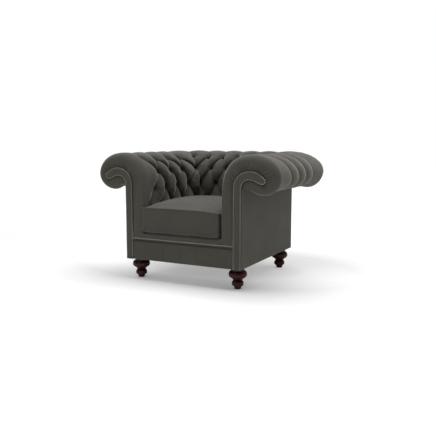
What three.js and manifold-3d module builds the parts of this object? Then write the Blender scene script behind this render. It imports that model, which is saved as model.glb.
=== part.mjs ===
// A chesterfield armchair, in millimetres, +Z up.
// The chair faces -Y, and left and right are those of someone looking at its front.
// The origin is on the floor, under the middle of the chair's overall box.

import * as THREE from "three";
import { mergeVertices } from "three/addons/utils/BufferGeometryUtils.js";
import Module from "manifold-3d";

const wasm = await Module();
wasm.setup();

// Overall sizes. The body is the box inside the outside panels, and the rolls stand out past it.
const body_width = 766;
const body_depth = 798;
const body_bottom = 125;
const crest_height = 760;
const roll_overhang = 206;
const clearance = 0.3;

// Hardwood frame.
const panel_thickness = 2.7;
const rail_thickness = 32;
const lining_thickness = 1.5;
const frame_bottom = 128;
const seat_rail_top = 238;
const top_rail_height = 45;
const top_rail_stand = 14.7;
const tack_rail_height = 40;
const corner_block_width = 70;
const corner_block_depth = 80;
const corner_block_height = 70;

// Padding of the arms and the back, measured from the outside panel towards the seat. The roll's
// heights are steps: down from its crest to its widest point and its bottom, then up to its end.
const pad_reach = 126;
const roll_thickness = 45;
const pad_edge_thickness = 10;
const core_gap = 0.6;
const roll_top_out = 45;
const roll_widest_drop = 120;
const roll_bottom_out = 113;
const roll_bottom_drop = 87;
const roll_end_rise = 32.3;
const pad_bottom = 289.6;

// Deep buttoning: three rows, with pleats from the top row over the roll and from the low row down.
const button_rows = 3;
const low_row_drop = 210;
const row_pitch = 108;
const pleat_depth = 20;
const button_depth = 14;
const button_reach = 20;
const pillow_power_share = 0.34;
const arm_columns = 4;
const arm_pitch = 150;
const first_column_from_front = 154;
const column_drift = 65;
const back_half_columns = 2;
const back_pitch = 125;
const mitre_fade = 45;

// Arm fronts: a gathered border round the scroll, a nailed facing and its nail heads.
const border_depth = 67;
const border_rounding = 20;
const facing_thickness = 6;
const border_cover = 8;
const facing_width = 47;
const hook_start_drop = 185;
const hook_rise = 102;
const hook_reach = 147;
const nail_pitch = 14;
const nail_radius = 5;
const nail_height = 3;
const nail_strip_half_width = 1.8;
const nail_strip_height = 0.9;
const nail_edge_margin = 3;

// Front of the seat: a padded lip over a plain panel.
const lip_rounding = 14;
const front_nail_height = 250;
const front_cover_set_back = 4;

// Seat deck and sinuous springs.
const spring_wire = 4;
const spring_count = 5;
const spring_bends = 12;
const spring_half_width = 24;
const deck_top = 289;

// Loose seat cushion.
const cushion_side_gap = 1;
const cushion_set_back = 0.5;
const cushion_back_gap = 4;
const cushion_bottom = 289.7;
const cushion_border_height = 148;
const cushion_crown = 38;
const cushion_corner_radius = 18;
const cushion_draw_in = 5;
const cushion_border_bulge = 3;
const cushion_seam_height = 8;
const cushion_wadding = 13;
const zip_inset = 41;
const zip_height = 9;

// Turned feet, screwed up into the corner blocks.
const foot_inset_x = 53;
const foot_inset_y = 78;
const foot_base_radius = 20.5;
const foot_toe_radius = 15;
const foot_toe_height = 4;
const foot_ankle_radius = 22;
const foot_ankle_height = 17;
const foot_ring_radius = 34;
const foot_ring_height = 32.5;
const foot_neck_radius = 23.5;
const foot_neck_height = 48;
const foot_cup_radius = 36;
const foot_cup_height = 65;
const foot_bulb_radius = 53;
const foot_bulb_height = 86;
const foot_shoulder_radius = 38;
const foot_shoulder_height = 108;
const foot_top = 127.7;
const bolt_radius = 4;
const bolt_bottom = 72;
const bolt_top = 182;
const bolt_sides = 10;
const dust_cover_gap = 1.5;

// Places that follow from these sizes.
const half_width = body_width / 2;
const cushion_half_width = half_width - pad_reach - cushion_side_gap;
const zip_half_length = cushion_half_width - zip_inset;
const roll_widest_height = crest_height - roll_widest_drop;
const roll_bottom_height = roll_widest_height - roll_bottom_drop;
const roll_end_height = roll_bottom_height + roll_end_rise;
const top_rail_top = roll_end_height + top_rail_stand;
const shoulder_height = top_rail_top;
const low_row_height = crest_height - low_row_drop;
const hook_start_height = crest_height - hook_start_drop;
const front_y = -(body_depth + roll_overhang + nail_height) / 2 + nail_height;
const back_y = front_y + body_depth;
const frame_out = -(panel_thickness + clearance);
const rail_in = frame_out - rail_thickness;
const lining_out = rail_in - clearance;
const lining_in = lining_out - lining_thickness;
const backing_out = lining_in - clearance;
const border_front_y = front_y + facing_thickness + clearance;
const post_front_y = border_front_y + border_cover + clearance;
const post_back_y = post_front_y + rail_thickness;
const seam_y = front_y + border_depth;
const rear_post_front_y = back_y + lining_in;
const core_bottom = top_rail_top + clearance;
const spring_bottom = seat_rail_top + clearance;
const deck_bottom = spring_bottom + spring_wire + clearance;
const overrun = 5;

const materials = {
  cloth: { color: 0x43423d, roughness: 0.95, metalness: 0 },
  lining: { color: 0x1c1b1a, roughness: 1, metalness: 0 },
  foam: { color: 0xd8cfae, roughness: 1, metalness: 0 },
  hardwood: { color: 0xb98d5a, roughness: 0.7, metalness: 0 },
  mahogany: { color: 0x220b0a, roughness: 0.2, metalness: 0 },
  steel: { color: 0x8a8d90, roughness: 0.4, metalness: 1 },
  nail: { color: 0x8f8775, roughness: 0.4, metalness: 1 },
};

const chair = new THREE.Group();

// Adds one named sub-part to the chair.
function addPart(name, geometry, finish) {
  const part = new THREE.Mesh(geometry, new THREE.MeshStandardMaterial(materials[finish]));
  part.name = name;
  chair.add(part);
  return part;
}

// A rectangular block between two corners.
function block(low, high) {
  const size = high.map((value, axis) => value - low[axis]);
  const centre = high.map((value, axis) => (value + low[axis]) / 2);
  return new THREE.BoxGeometry(...size).translate(...centre);
}

// A closed geometry as a solid that can be cut and joined.
function solidOf(geometry) {
  const bare = geometry.clone();
  bare.deleteAttribute("normal");
  bare.deleteAttribute("uv");
  const merged = mergeVertices(bare);
  return new wasm.Manifold(
    new wasm.Mesh({
      numProp: 3,
      vertProperties: new Float32Array(merged.attributes.position.array),
      triVerts: new Uint32Array(merged.index.array),
    }),
  );
}

// A cut or joined solid as a geometry again.
function geometryOf(solid) {
  const mesh = solid.getMesh();
  const geometry = new THREE.BufferGeometry();
  geometry.setAttribute("position", new THREE.BufferAttribute(mesh.vertProperties, 3));
  geometry.setIndex(new THREE.BufferAttribute(mesh.triVerts, 1));
  return geometry;
}

// An outline in (x, z) carried along +Y from one plane to another.
function plateAlongY(outline, low_y, high_y) {
  const depth = high_y - low_y;
  const plate = new THREE.ExtrudeGeometry(outline, { depth, bevelEnabled: false });
  return plate.rotateX(Math.PI / 2).translate(0, high_y, 0);
}

// Turns an outline given as (out, up) into (x, z) for the arm on the given side.
function outlineOnSide(points, side) {
  const placed = points.map(([out, up]) => new THREE.Vector2(side * (half_width + out), up));
  return new THREE.Shape(placed);
}

// The section of the padding's crest: up the inside face, over the shoulder and round the roll.
const crest = new THREE.CurvePath();
{
  const ellipse_share = 0.6;
  const flat_share = 0.62;
  const drop_share = 0.5;
  const round_share = 0.55;
  const tuck_share = 0.35;
  const point = (out, up) => new THREE.Vector2(out, up);
  const bottom = point(-pad_reach, pad_bottom);
  const shoulder = point(-pad_reach, shoulder_height);
  const top = point(roll_top_out, crest_height);
  const widest = point(roll_overhang, roll_widest_height);
  const under = point(roll_bottom_out, roll_bottom_height);
  const end = point(0, roll_end_height);
  const shoulder_run = top.x - shoulder.x;
  const shoulder_rise = top.y - shoulder.y;
  const fall_run = widest.x - top.x;
  const fall_drop = top.y - widest.y;
  const turn_run = widest.x - under.x;
  const turn_drop = widest.y - under.y;
  const tuck_run = under.x - end.x;
  const tuck_rise = end.y - under.y;
  crest.add(new THREE.LineCurve(bottom, shoulder));
  crest.add(
    new THREE.CubicBezierCurve(
      shoulder,
      point(shoulder.x, shoulder.y + ellipse_share * shoulder_rise),
      point(top.x - ellipse_share * shoulder_run, top.y),
      top,
    ),
  );
  crest.add(
    new THREE.CubicBezierCurve(
      top,
      point(top.x + flat_share * fall_run, top.y),
      point(widest.x, widest.y + drop_share * fall_drop),
      widest,
    ),
  );
  crest.add(
    new THREE.CubicBezierCurve(
      widest,
      point(widest.x, widest.y - round_share * turn_drop),
      point(under.x + round_share * turn_run, under.y),
      under,
    ),
  );
  crest.add(
    new THREE.CubicBezierCurve(
      under,
      point(under.x - tuck_share * tuck_run, under.y),
      point(end.x + tuck_share * tuck_run, end.y - tuck_share * tuck_rise),
      end,
    ),
  );
}
crest.arcLengthDivisions = 400;
const crest_length = crest.getLength();
const low_row_along = low_row_height - pad_bottom;
const mid_row_along = low_row_along + row_pitch;
const top_row_along = mid_row_along + row_pitch;
const roll_top_along = crest.getCurveLengths()[1];
const roll_under_along = crest.getCurveLengths()[3];

// A point of the crest and the direction that faces out of the padding there.
function crestAt(along) {
  const share = THREE.MathUtils.clamp(along / crest_length, 0, 1);
  const place = crest.getPointAt(share);
  const tangent = crest.getTangentAt(share);
  return { out: place.x, up: place.y, facing: new THREE.Vector2(-tangent.y, tangent.x) };
}

// How thick the padding is under the crest: full on the inside face, thinner round the roll.
function paddingThickness(along) {
  const full = pad_reach + backing_out;
  const { smoothstep, lerp } = THREE.MathUtils;
  const over = smoothstep(along, mid_row_along, roll_top_along);
  const tuck = smoothstep(along, roll_under_along, crest_length);
  return lerp(lerp(full, roll_thickness, over), pad_edge_thickness, tuck);
}

// The back of the padding, where it lies on the lining and on the roll's core.
function backingAt(along) {
  const { out, up, facing } = crestAt(along);
  const depth = paddingThickness(along);
  return [out - depth * facing.x, up - depth * facing.y];
}

// Height of the buttoned surface, from 0 in a pleat to 1 on a pillow's crown.
// A pleat is a line on which one of two slanting counts is whole, and both counts run straight
// outside the rows. A count below its first whole number makes no pleat.
function pillowShare(column, along, first_pleat) {
  const rows_climbed = (along - low_row_along) / (top_row_along - low_row_along);
  const climb = THREE.MathUtils.clamp(rows_climbed, 0, 1);
  const rising = column + climb;
  const falling = column - climb;
  const half_share = 0.5;
  const left = rising < first_pleat + half_share ? 1 : Math.abs(Math.sin(Math.PI * rising));
  const right = falling < first_pleat - half_share ? 1 : Math.abs(Math.sin(Math.PI * falling));
  return Math.pow(left * right, pillow_power_share);
}

// How much deeper the cloth is pulled at the nearest button.
function buttonDip(column, along, pitch, first_column) {
  let nearest = Infinity;
  for (let row = 0; row < button_rows; row++) {
    const shift = (row % 2) / 2;
    const whole = Math.max(Math.round(column - shift), first_column);
    const across = (column - shift - whole) * pitch;
    const rise = along - low_row_along - row * row_pitch;
    nearest = Math.min(nearest, Math.hypot(across, rise));
  }
  return button_depth * Math.exp(-((nearest / button_reach) ** 2));
}

// Distances along the crest at which a section has its points.
function stepsBetween(from, to, count) {
  return Array.from({ length: count }, (_, step) => from + ((to - from) * step) / count);
}
const rows_of_steps = 3;
const crest_steps = [
  ...stepsBetween(0, low_row_along, 3),
  ...stepsBetween(low_row_along, mid_row_along, rows_of_steps),
  ...stepsBetween(mid_row_along, top_row_along, rows_of_steps),
  ...stepsBetween(top_row_along, crest_length, 9),
  crest_length,
];
const shoulder_along = shoulder_height - pad_bottom;
const roll_steps = [...stepsBetween(shoulder_along, crest_length, 11), crest_length];
const backing_steps = [...roll_steps.toReversed(), 0];

// Where a distance along an arm lies in plan. Past the panel's plane it turns round the rear corner.
function placeOnArm(side, distance, out) {
  const past = distance - back_y;
  if (out <= 0 || past <= 0) return [side * (half_width + out), distance];
  const turn = past / out;
  return [side * (half_width + out * Math.cos(turn)), back_y + out * Math.sin(turn)];
}

// Where a distance along the back, from its middle, lies in plan.
function placeOnBack(distance, out) {
  const past = Math.abs(distance) - half_width;
  if (out <= 0 || past <= 0) return [distance, back_y + out];
  const turn = past / out;
  const side = Math.sign(distance);
  return [side * (half_width + out * Math.sin(turn)), back_y + out * Math.cos(turn)];
}

// How far an arm or the back runs before it meets its neighbour on the corner's mitre.
function mitreRun(straight_run, out) {
  const turned_share = Math.PI / 4;
  return straight_run + (out > 0 ? out * turned_share : out) - clearance;
}

// The triangles that fill an outline, each running round it the way the outline itself runs.
function capFaces(outline) {
  const runs_left = THREE.ShapeUtils.area(outline) > 0;
  return THREE.ShapeUtils.triangulateShape(outline, []).map(([i, j, k]) => {
    const face_runs_left = THREE.ShapeUtils.area([outline[i], outline[j], outline[k]]) > 0;
    return face_runs_left === runs_left ? [i, j, k] : [i, k, j];
  });
}

// Skins a row of closed sections, each a loop of [x, y, z] points, and closes both ends.
// Each quad is folded along its lower diagonal where the points' heights are given.
function skin(loops, cap_outline, heights) {
  const around = loops[0].length;
  const faces = [];
  const at = (loop, point) => loop * around + (point % around);
  for (let loop = 0; loop + 1 < loops.length; loop++) {
    for (let point = 0; point < around; point++) {
      const a = at(loop, point);
      const b = at(loop, point + 1);
      const c = at(loop + 1, point + 1);
      const d = at(loop + 1, point);
      const fold_ac = heights && heights[a] + heights[c] <= heights[b] + heights[d];
      if (fold_ac) faces.push(a, b, c, a, c, d);
      else faces.push(a, b, d, b, c, d);
    }
  }
  const last = (loops.length - 1) * around;
  for (const [i, j, k] of capFaces(cap_outline(0))) faces.push(i, k, j);
  for (const corners_of_face of capFaces(cap_outline(loops.length - 1))) {
    faces.push(...corners_of_face.map((corner) => last + corner));
  }
  const geometry = new THREE.BufferGeometry();
  geometry.setAttribute("position", new THREE.Float32BufferAttribute(loops.flat(2), 3));
  geometry.setIndex(faces);
  const solid = solidOf(geometry);
  if (solid.volume() > 0) return geometry;
  for (let face = 0; face < faces.length; face += 3) {
    [faces[face + 1], faces[face + 2]] = [faces[face + 2], faces[face + 1]];
  }
  geometry.setIndex(faces);
  return geometry;
}

// Moves columns that would pass the mitre back in front of it, keeping their order.
function heldByMitre(distance, limit, steps_left) {
  const squeeze = clearance + clearance;
  return Math.min(distance, limit - steps_left * squeeze);
}

// A buttoned pad: one section at each column, sunk below the crest in its pleats and at its buttons.
function tuftedPad(columns, pitch, first_column, { distanceOf, limitOf, placeOf, both_ends }) {
  const heights = [];
  const outlines = [];
  const last = columns.length - 1;
  const held = (distance, out, index) => {
    const limit = limitOf(out);
    const before_end = heldByMitre(distance, limit, last - index);
    return both_ends ? Math.max(before_end, -heldByMitre(Infinity, limit, index)) : before_end;
  };
  const loops = columns.map((column, index) => {
    const section = [];
    for (const along of crest_steps) {
      const { out, up, facing } = crestAt(along);
      const wanted = distanceOf(column, along);
      const distance = held(wanted, out, index);
      const shown = column + (distance - wanted) / pitch;
      const to_mitre = limitOf(out) - (both_ends ? Math.abs(distance) : distance);
      const fade = Math.sqrt(THREE.MathUtils.smoothstep(to_mitre, 0, mitre_fade));
      const height = fade * pillowShare(shown, along, first_column);
      const tuck = THREE.MathUtils.smoothstep(along, roll_under_along, crest_length);
      const dip = (1 - height) * pleat_depth + buttonDip(shown, along, pitch, first_column);
      const depth = dip * (1 - tuck);
      section.push([out - depth * facing.x, up - depth * facing.y, along]);
      heights.push(height);
    }
    for (const along of backing_steps) {
      section.push([...backingAt(along), along]);
      heights.push(1);
    }
    outlines.push(section.map(([out, up]) => new THREE.Vector2(out, up)));
    return section.map(([out, up, along]) => {
      const [x, y] = placeOf(held(distanceOf(column, along), out, index), out);
      return [x, y, up];
    });
  });
  return skin(loops, (loop) => outlines[loop], heights);
}

const steps_per_column = 2 * rows_of_steps;
const seam_column = (seam_y + clearance - front_y - first_column_from_front) / arm_pitch;

// Where a column crosses an arm: evenly spaced, drifting backwards over the roll.
function armColumnDistance(column, along) {
  const { smoothstep, lerp } = THREE.MathUtils;
  const { out } = crestAt(along);
  const drift = column_drift * smoothstep(along, top_row_along, roll_under_along);
  const first = front_y + first_column_from_front + drift;
  if (column <= 0) return lerp(first, seam_y + clearance, column / seam_column);
  const regular = first + column * arm_pitch;
  const last_column = arm_columns - 1;
  if (column <= last_column) return regular;
  const corner = mitreRun(back_y, out);
  const closed = lerp(first + last_column * arm_pitch, corner, column - last_column);
  return lerp(regular, closed, smoothstep(along, mid_row_along, top_row_along));
}

// What the pad and the core of an arm share: where their columns lie and where they end.
function armLayout(side) {
  return {
    distanceOf: armColumnDistance,
    limitOf: (out) => mitreRun(back_y, out),
    placeOf: (distance, out) => placeOnArm(side, distance, out),
    both_ends: false,
  };
}

function armPad(side) {
  const plain_steps = 4;
  const columns = [
    ...stepsBetween(seam_column, 0, plain_steps),
    ...stepsBetween(0, arm_columns, arm_columns * steps_per_column),
    arm_columns,
  ];
  return tuftedPad(columns, arm_pitch, 0, armLayout(side));
}

// Where a column crosses the back. The last one each side is the corner's own pleat on the roll.
function backColumnDistance(column, along) {
  const { smoothstep, lerp } = THREE.MathUtils;
  const { out } = crestAt(along);
  const side = Math.sign(column);
  const count = Math.abs(column);
  const regular = count * back_pitch;
  if (count <= back_half_columns) return side * regular;
  const corner = mitreRun(half_width, out);
  const last = back_half_columns * back_pitch;
  const closed = lerp(last, corner, count - back_half_columns);
  return side * lerp(regular, closed, smoothstep(along, mid_row_along, top_row_along));
}

const back_layout = {
  distanceOf: backColumnDistance,
  limitOf: (out) => mitreRun(half_width, out),
  placeOf: placeOnBack,
  both_ends: true,
};

function backPad() {
  const reach = back_half_columns + 1;
  const columns = [...stepsBetween(-reach, reach, 2 * reach * steps_per_column), reach];
  return tuftedPad(columns, back_pitch, -2 * reach, back_layout);
}

// The firm core of a roll, which lies on the top rail and fills the padding round it.
// Its outline follows the backing a small gap inside it, down to the level of the rail's top.
// Each point is [out, up, distance along the crest].
function coreOutline() {
  const inner = roll_steps.map((along) => {
    const { out, up, facing } = crestAt(along);
    const depth = paddingThickness(along) + core_gap;
    return [out - depth * facing.x, up - depth * facing.y, along];
  });
  const first = inner.findIndex(([, up]) => up > core_bottom);
  const last = inner.findIndex(([, up], index) => index > first && up <= core_bottom);
  const above = inner[last - 1];
  const below = inner[last];
  const share = (above[1] - core_bottom) / (above[1] - below[1]);
  const end = above.map((value, axis) => THREE.MathUtils.lerp(value, below[axis], share));
  return [[lining_in, core_bottom, shoulder_along], ...inner.slice(first, last), end];
}

// A core's stations are those of the padding round it, so that the two turn the corner alike.
function rollCore(columns, { distanceOf, limitOf, placeOf, both_ends }) {
  const outline = coreOutline();
  const last = columns.length - 1;
  const loops = columns.map((column, index) =>
    outline.map(([out, up, along]) => {
      const limit = limitOf(out);
      let distance = heldByMitre(distanceOf(column, along), limit, last - index);
      if (both_ends) distance = Math.max(distance, -heldByMitre(Infinity, limit, index));
      const [x, y] = placeOf(distance, out);
      return [x, y, up];
    }),
  );
  const flat = outline.map(([out, up]) => new THREE.Vector2(out, up));
  return skin(loops, () => flat);
}

// The space inside the padding's backing, where the front post and the roll's core stand.
// Below the padding it is wider, so that only the cover in front of the post is left there.
function backingOutline(bottom, out_side) {
  const stem_in = -facing_width - overrun;
  const points = [
    [stem_in, bottom],
    [stem_in, pad_bottom],
    [backing_out, pad_bottom],
    ...roll_steps.map((along) => backingAt(along)),
  ];
  points.push([out_side, roll_end_height], [out_side, bottom]);
  return points;
}

// The front post: a board with the scroll's outline, which the rails butt against.
function postOutline() {
  const head = coreOutline();
  const [stem_in, , ...round] = [[lining_in, frame_bottom], ...head];
  return [stem_in, ...round, [frame_out, core_bottom], [frame_out, frame_bottom]];
}

// The gathered border: a cover over the arm's front, with a rounded edge round the scroll.
function armBorder(side) {
  const crest_points = 26;
  const rounding_steps = 4;
  const stem_in = -facing_width + clearance;
  const sectionAt = (y, inset) => {
    const section = [];
    for (let step = 0; step <= crest_points; step++) {
      const along = (crest_length * step) / crest_points;
      const { out, up, facing } = crestAt(along);
      const tuck = THREE.MathUtils.smoothstep(along, roll_under_along, crest_length);
      const moved = inset * (1 - tuck);
      section.push([out - moved * facing.x, y, up - moved * facing.y]);
    }
    section.push([0, y, body_bottom], [stem_in, y, body_bottom], [stem_in, y, pad_bottom]);
    return section.map(([out, , up]) => [side * (half_width + out), y, up]);
  };
  const loops = [];
  for (let step = 0; step <= rounding_steps; step++) {
    const turn = ((Math.PI / 2) * step) / rounding_steps;
    const y = border_front_y + border_rounding * (1 - Math.cos(turn));
    loops.push(sectionAt(y, border_rounding * (1 - Math.sin(turn))));
  }
  loops.push(sectionAt(seam_y, 0));
  const flat = loops.map((loop) => loop.map(([x, , z]) => new THREE.Vector2(x, z)));
  const inside = plateAlongY(
    outlineOnSide(backingOutline(body_bottom - overrun, overrun), side),
    border_front_y + border_cover,
    seam_y + overrun,
  );
  return geometryOf(solidOf(skin(loops, (loop) => flat[loop])).subtract(solidOf(inside)));
}

// The hooked outline of the arm's facing, as curves between shares of the hook's width and rise.
// Each row is a curve's two guide points and its end.
const hook_curve_shares = [
  [0, 0.64, 0.24, 1, 0.54, 1],
  [0.73, 1, 0.89, 0.76, 0.985, 0.58],
  [1.02, 0.44, 0.95, 0.28, 0.86, 0.295],
  [0.73, 0.36, 0.63, 0.52, 0.485, 0.52],
  [0.345, 0.52, 0.242, 0.295, 0.242, 0],
];

// Points down one side of the facing, round its hook and down the other side.
function facingLine(bottom) {
  const across = facing_width + hook_reach;
  const path = new THREE.Path();
  const place = (share_x, share_z) => [
    -facing_width + across * share_x,
    hook_start_height + hook_rise * share_z,
  ];
  path.moveTo(-facing_width, bottom);
  path.lineTo(-facing_width, hook_start_height);
  for (const [ax, az, bx, bz, ex, ez] of hook_curve_shares) {
    path.bezierCurveTo(...place(ax, az), ...place(bx, bz), ...place(ex, ez));
  }
  path.lineTo(0, hook_start_height);
  path.lineTo(0, bottom);
  return path;
}

function armFacing(side) {
  const curve_steps = 5;
  const points = facingLine(body_bottom)
    .getPoints(curve_steps)
    .map((point) => [point.x, point.y]);
  return plateAlongY(outlineOnSide(points, side), front_y, front_y + facing_thickness);
}

// A strip of nail heads along a line of [x, z] points, standing on the plane y = face_y.
// The strip is narrow between the heads and swells at each one.
function nailStrip(line, face_y) {
  const loops = line.map(({ x, z, across_x, across_z }, index) => {
    const on_head = index % 2 === 1;
    const half = on_head ? nail_radius : nail_strip_half_width;
    const height = on_head ? nail_height : nail_strip_height;
    return [
      [-half, 0],
      [0, height],
      [half, 0],
    ].map(([offset, rise]) => [x + offset * across_x, face_y - rise, z + offset * across_z]);
  });
  const section = [new THREE.Vector2(-1, 0), new THREE.Vector2(0, 1), new THREE.Vector2(1, 0)];
  return skin(loops, () => section);
}

// The facing's outline moved in by the nails' margin, with stations at and between the heads.
function armNails(side) {
  const path = facingLine(body_bottom + nail_pitch / 2);
  const length = path.getLength();
  const stations = 2 * Math.round(length / nail_pitch);
  path.arcLengthDivisions = stations * 4;
  path.updateArcLengths();
  const line = Array.from({ length: stations + 1 }, (_, index) => {
    const share = index / stations;
    const place = path.getPointAt(share);
    const tangent = path.getTangentAt(share);
    const inward = new THREE.Vector2(tangent.y, -tangent.x);
    return {
      x: side * (half_width + place.x + nail_edge_margin * inward.x),
      z: place.y + nail_edge_margin * inward.y,
      across_x: side * inward.x,
      across_z: inward.y,
    };
  });
  return nailStrip(line, front_y);
}

function frontNails() {
  const reach = half_width - facing_width - nail_pitch / 2;
  const stations = 2 * Math.round((2 * reach) / nail_pitch);
  const line = Array.from({ length: stations + 1 }, (_, index) => ({
    x: -reach + (2 * reach * index) / stations,
    z: front_nail_height,
    across_x: 0,
    across_z: 1,
  }));
  return nailStrip(line, front_y + clearance);
}

// The padded lip over the front rail, rounded along its top front edge.
function lipPad() {
  const low = deck_bottom;
  const high = deck_top + clearance;
  const front = front_y + clearance;
  const section = new THREE.Shape();
  section.moveTo(front, low);
  section.lineTo(front, high - lip_rounding);
  section.quadraticCurveTo(front, high, front + lip_rounding, high);
  section.lineTo(post_back_y, high);
  section.lineTo(post_back_y, low);
  const reach = half_width - facing_width;
  const pad = new THREE.ExtrudeGeometry(section, {
    depth: 2 * reach,
    bevelEnabled: false,
    curveSegments: 5,
  });
  const turned = new THREE.Matrix4().makeBasis(
    new THREE.Vector3(0, 1, 0),
    new THREE.Vector3(0, 0, 1),
    new THREE.Vector3(1, 0, 0),
  );
  return pad.applyMatrix4(turned).translate(-reach, 0, 0);
}

// A sinuous spring: one wire that bends from side to side between the front and rear rails.
function sinuousSpring(centre_x) {
  const low = post_back_y - rail_thickness / 2;
  const high = back_y + frame_out - rail_thickness / 2;
  const height = spring_bottom + spring_wire / 2;
  const points = Array.from({ length: 2 * spring_bends + 1 }, (_, index) => {
    const swing = Math.sin((index * Math.PI) / 2);
    const y = low + ((high - low) * index) / (2 * spring_bends);
    return new THREE.Vector3(centre_x + spring_half_width * swing, y, height);
  });
  const sides = 5;
  const wire = Array.from({ length: sides }, (_, side) => {
    const turn = (side * 2 * Math.PI) / sides;
    return new THREE.Vector2(Math.cos(turn), Math.sin(turn)).multiplyScalar(spring_wire / 2);
  });
  return new THREE.ExtrudeGeometry(new THREE.Shape(wire), {
    extrudePath: new THREE.CatmullRomCurve3(points),
    steps: 3 * spring_bends,
  });
}

// A rectangle with round corners about the cushion's middle, smaller by inset all round.
function cushionOutline(inset, centre_y, half_depth) {
  const x = cushion_half_width - inset;
  const y = half_depth - inset;
  const radius = Math.max(cushion_corner_radius - inset, cushion_corner_radius / 2);
  const shape = new THREE.Shape();
  shape.moveTo(x, centre_y + radius - y);
  shape.lineTo(x, centre_y + y - radius);
  shape.absarc(x - radius, centre_y + y - radius, radius, 0, Math.PI / 2);
  shape.lineTo(radius - x, centre_y + y);
  shape.absarc(radius - x, centre_y + y - radius, radius, Math.PI / 2, Math.PI);
  shape.lineTo(-x, centre_y + radius - y);
  shape.absarc(radius - x, centre_y + radius - y, radius, Math.PI, 1.5 * Math.PI);
  shape.lineTo(x - radius, centre_y - y);
  shape.absarc(x - radius, centre_y + radius - y, radius, 1.5 * Math.PI, 2 * Math.PI);
  return shape;
}

const cushion_front_y = front_y + cushion_set_back;
const cushion_rear_y = back_y - pad_reach - cushion_back_gap;
const cushion_middle_y = (cushion_front_y + cushion_rear_y) / 2;
const cushion_half_depth = (cushion_rear_y - cushion_front_y) / 2;
const cushion_top_seam = cushion_bottom + cushion_border_height;

// The cushion's closed skin: rings of the drawn-in outline, closed by a crowned top and a flat base.
// Each ring has even steps along its sides and round its corners.
function cushionSkin() {
  const side_steps = 8;
  const corner_steps = 4;
  const curves = cushionOutline(0, 0, cushion_half_depth).curves;
  const outline = curves
    .filter((curve) => curve.getLength() > clearance)
    .flatMap((curve) =>
      stepsBetween(0, 1, curve.isLineCurve ? side_steps : corner_steps).map((share) =>
        curve.getPoint(share),
      ),
    );
  const mid = cushion_bottom + cushion_border_height / 2;
  const corner_power_share = 8;
  const ring = (share, z, bulge) =>
    outline.map(({ x, y }) => {
      const x_share = x / cushion_half_width;
      const y_share = y / cushion_half_depth;
      const draw = cushion_draw_in - bulge;
      const drawn_x = x - draw * Math.sign(x) * Math.abs(x_share) ** corner_power_share * (1 - y_share ** 2);
      const drawn_y = y - draw * Math.sign(y) * Math.abs(y_share) ** corner_power_share * (1 - x_share ** 2);
      return [share * drawn_x, cushion_middle_y + share * drawn_y, z];
    });
  const crown_power_share = 2.6;
  const base_share = 0.97;
  const crown_shares = [base_share, 0.9, 0.78, 0.6, 0.38, 0.16];
  const rings = [
    ring(base_share, cushion_bottom, 0),
    ring(1, cushion_bottom + cushion_seam_height, 0),
    ring(1, mid, cushion_border_bulge),
    ring(1, cushion_top_seam, 0),
    ...crown_shares.map((share) =>
      ring(share, cushion_top_seam + cushion_crown * (1 - share ** crown_power_share), 0),
    ),
  ];
  return skin(rings, (loop) => {
    const share = loop === 0 ? 1 : crown_shares[crown_shares.length - 1];
    return outline.map(({ x, y }) => new THREE.Vector2(share * x, share * y));
  });
}

// The foam block inside the cushion, in the wadding's hollow. The wadding makes most of the crown.
function cushionBlock(inset) {
  const foam_share = 0.25;
  const low = cushion_bottom + inset;
  const outline = cushionOutline(inset + cushion_draw_in, cushion_middle_y, cushion_half_depth);
  const depth = cushion_border_height + foam_share * cushion_crown - 2 * inset;
  const options = { depth, bevelEnabled: false, curveSegments: 4 };
  return new THREE.ExtrudeGeometry(outline, options).translate(0, 0, low);
}

const zip_low = cushion_bottom + cushion_border_height / 2 - zip_height / 2;
const zip_front_y = cushion_rear_y - cushion_draw_in - cushion_wadding + clearance;

function cushionCover() {
  const cavity = solidOf(cushionBlock(cushion_wadding));
  const slot = block(
    [-zip_half_length, zip_front_y - overrun, zip_low],
    [zip_half_length, cushion_rear_y + overrun, zip_low + zip_height],
  );
  return geometryOf(solidOf(cushionSkin()).subtract(cavity).subtract(solidOf(slot)));
}

// A turned foot, as a profile round its axis with a blind hole for the bolt in its top.
function footGeometry() {
  const profile = new THREE.Path();
  const round_share = 0.75;
  profile.moveTo(0, 0);
  profile.lineTo(foot_toe_radius, 0);
  profile.lineTo(foot_base_radius, foot_toe_height);
  profile.lineTo(foot_base_radius, foot_ankle_height - foot_toe_height);
  profile.lineTo(foot_ankle_radius, foot_ankle_height);
  profile.quadraticCurveTo(foot_ring_radius, foot_ankle_height, foot_ring_radius, foot_ring_height);
  profile.quadraticCurveTo(foot_ring_radius, foot_neck_height, foot_neck_radius, foot_neck_height);
  profile.lineTo(foot_cup_radius, foot_cup_height);
  const lower = THREE.MathUtils.lerp(foot_bulb_height, foot_cup_height, round_share);
  const upper = THREE.MathUtils.lerp(foot_bulb_height, foot_shoulder_height, round_share);
  profile.quadraticCurveTo(foot_bulb_radius, lower, foot_bulb_radius, foot_bulb_height);
  profile.quadraticCurveTo(foot_bulb_radius, upper, foot_shoulder_radius, foot_shoulder_height);
  profile.lineTo(foot_shoulder_radius, foot_top);
  profile.lineTo(bolt_radius + clearance, foot_top);
  profile.lineTo(bolt_radius + clearance, bolt_bottom - clearance);
  profile.lineTo(0, bolt_bottom - clearance);
  return turned(profile.getPoints(3), 14);
}

// A profile of (radius, height) points turned round the Z axis.
function turned(points, segments) {
  return new THREE.LatheGeometry(points, segments).rotateX(Math.PI / 2);
}

function profilePoints(pairs) {
  return pairs.map(([radius, height]) => new THREE.Vector2(radius, height));
}

function hangerBolt() {
  return turned(
    profilePoints([
      [0, bolt_bottom],
      [bolt_radius, bolt_bottom],
      [bolt_radius, bolt_top],
      [0, bolt_top],
    ]),
    bolt_sides,
  );
}

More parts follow.
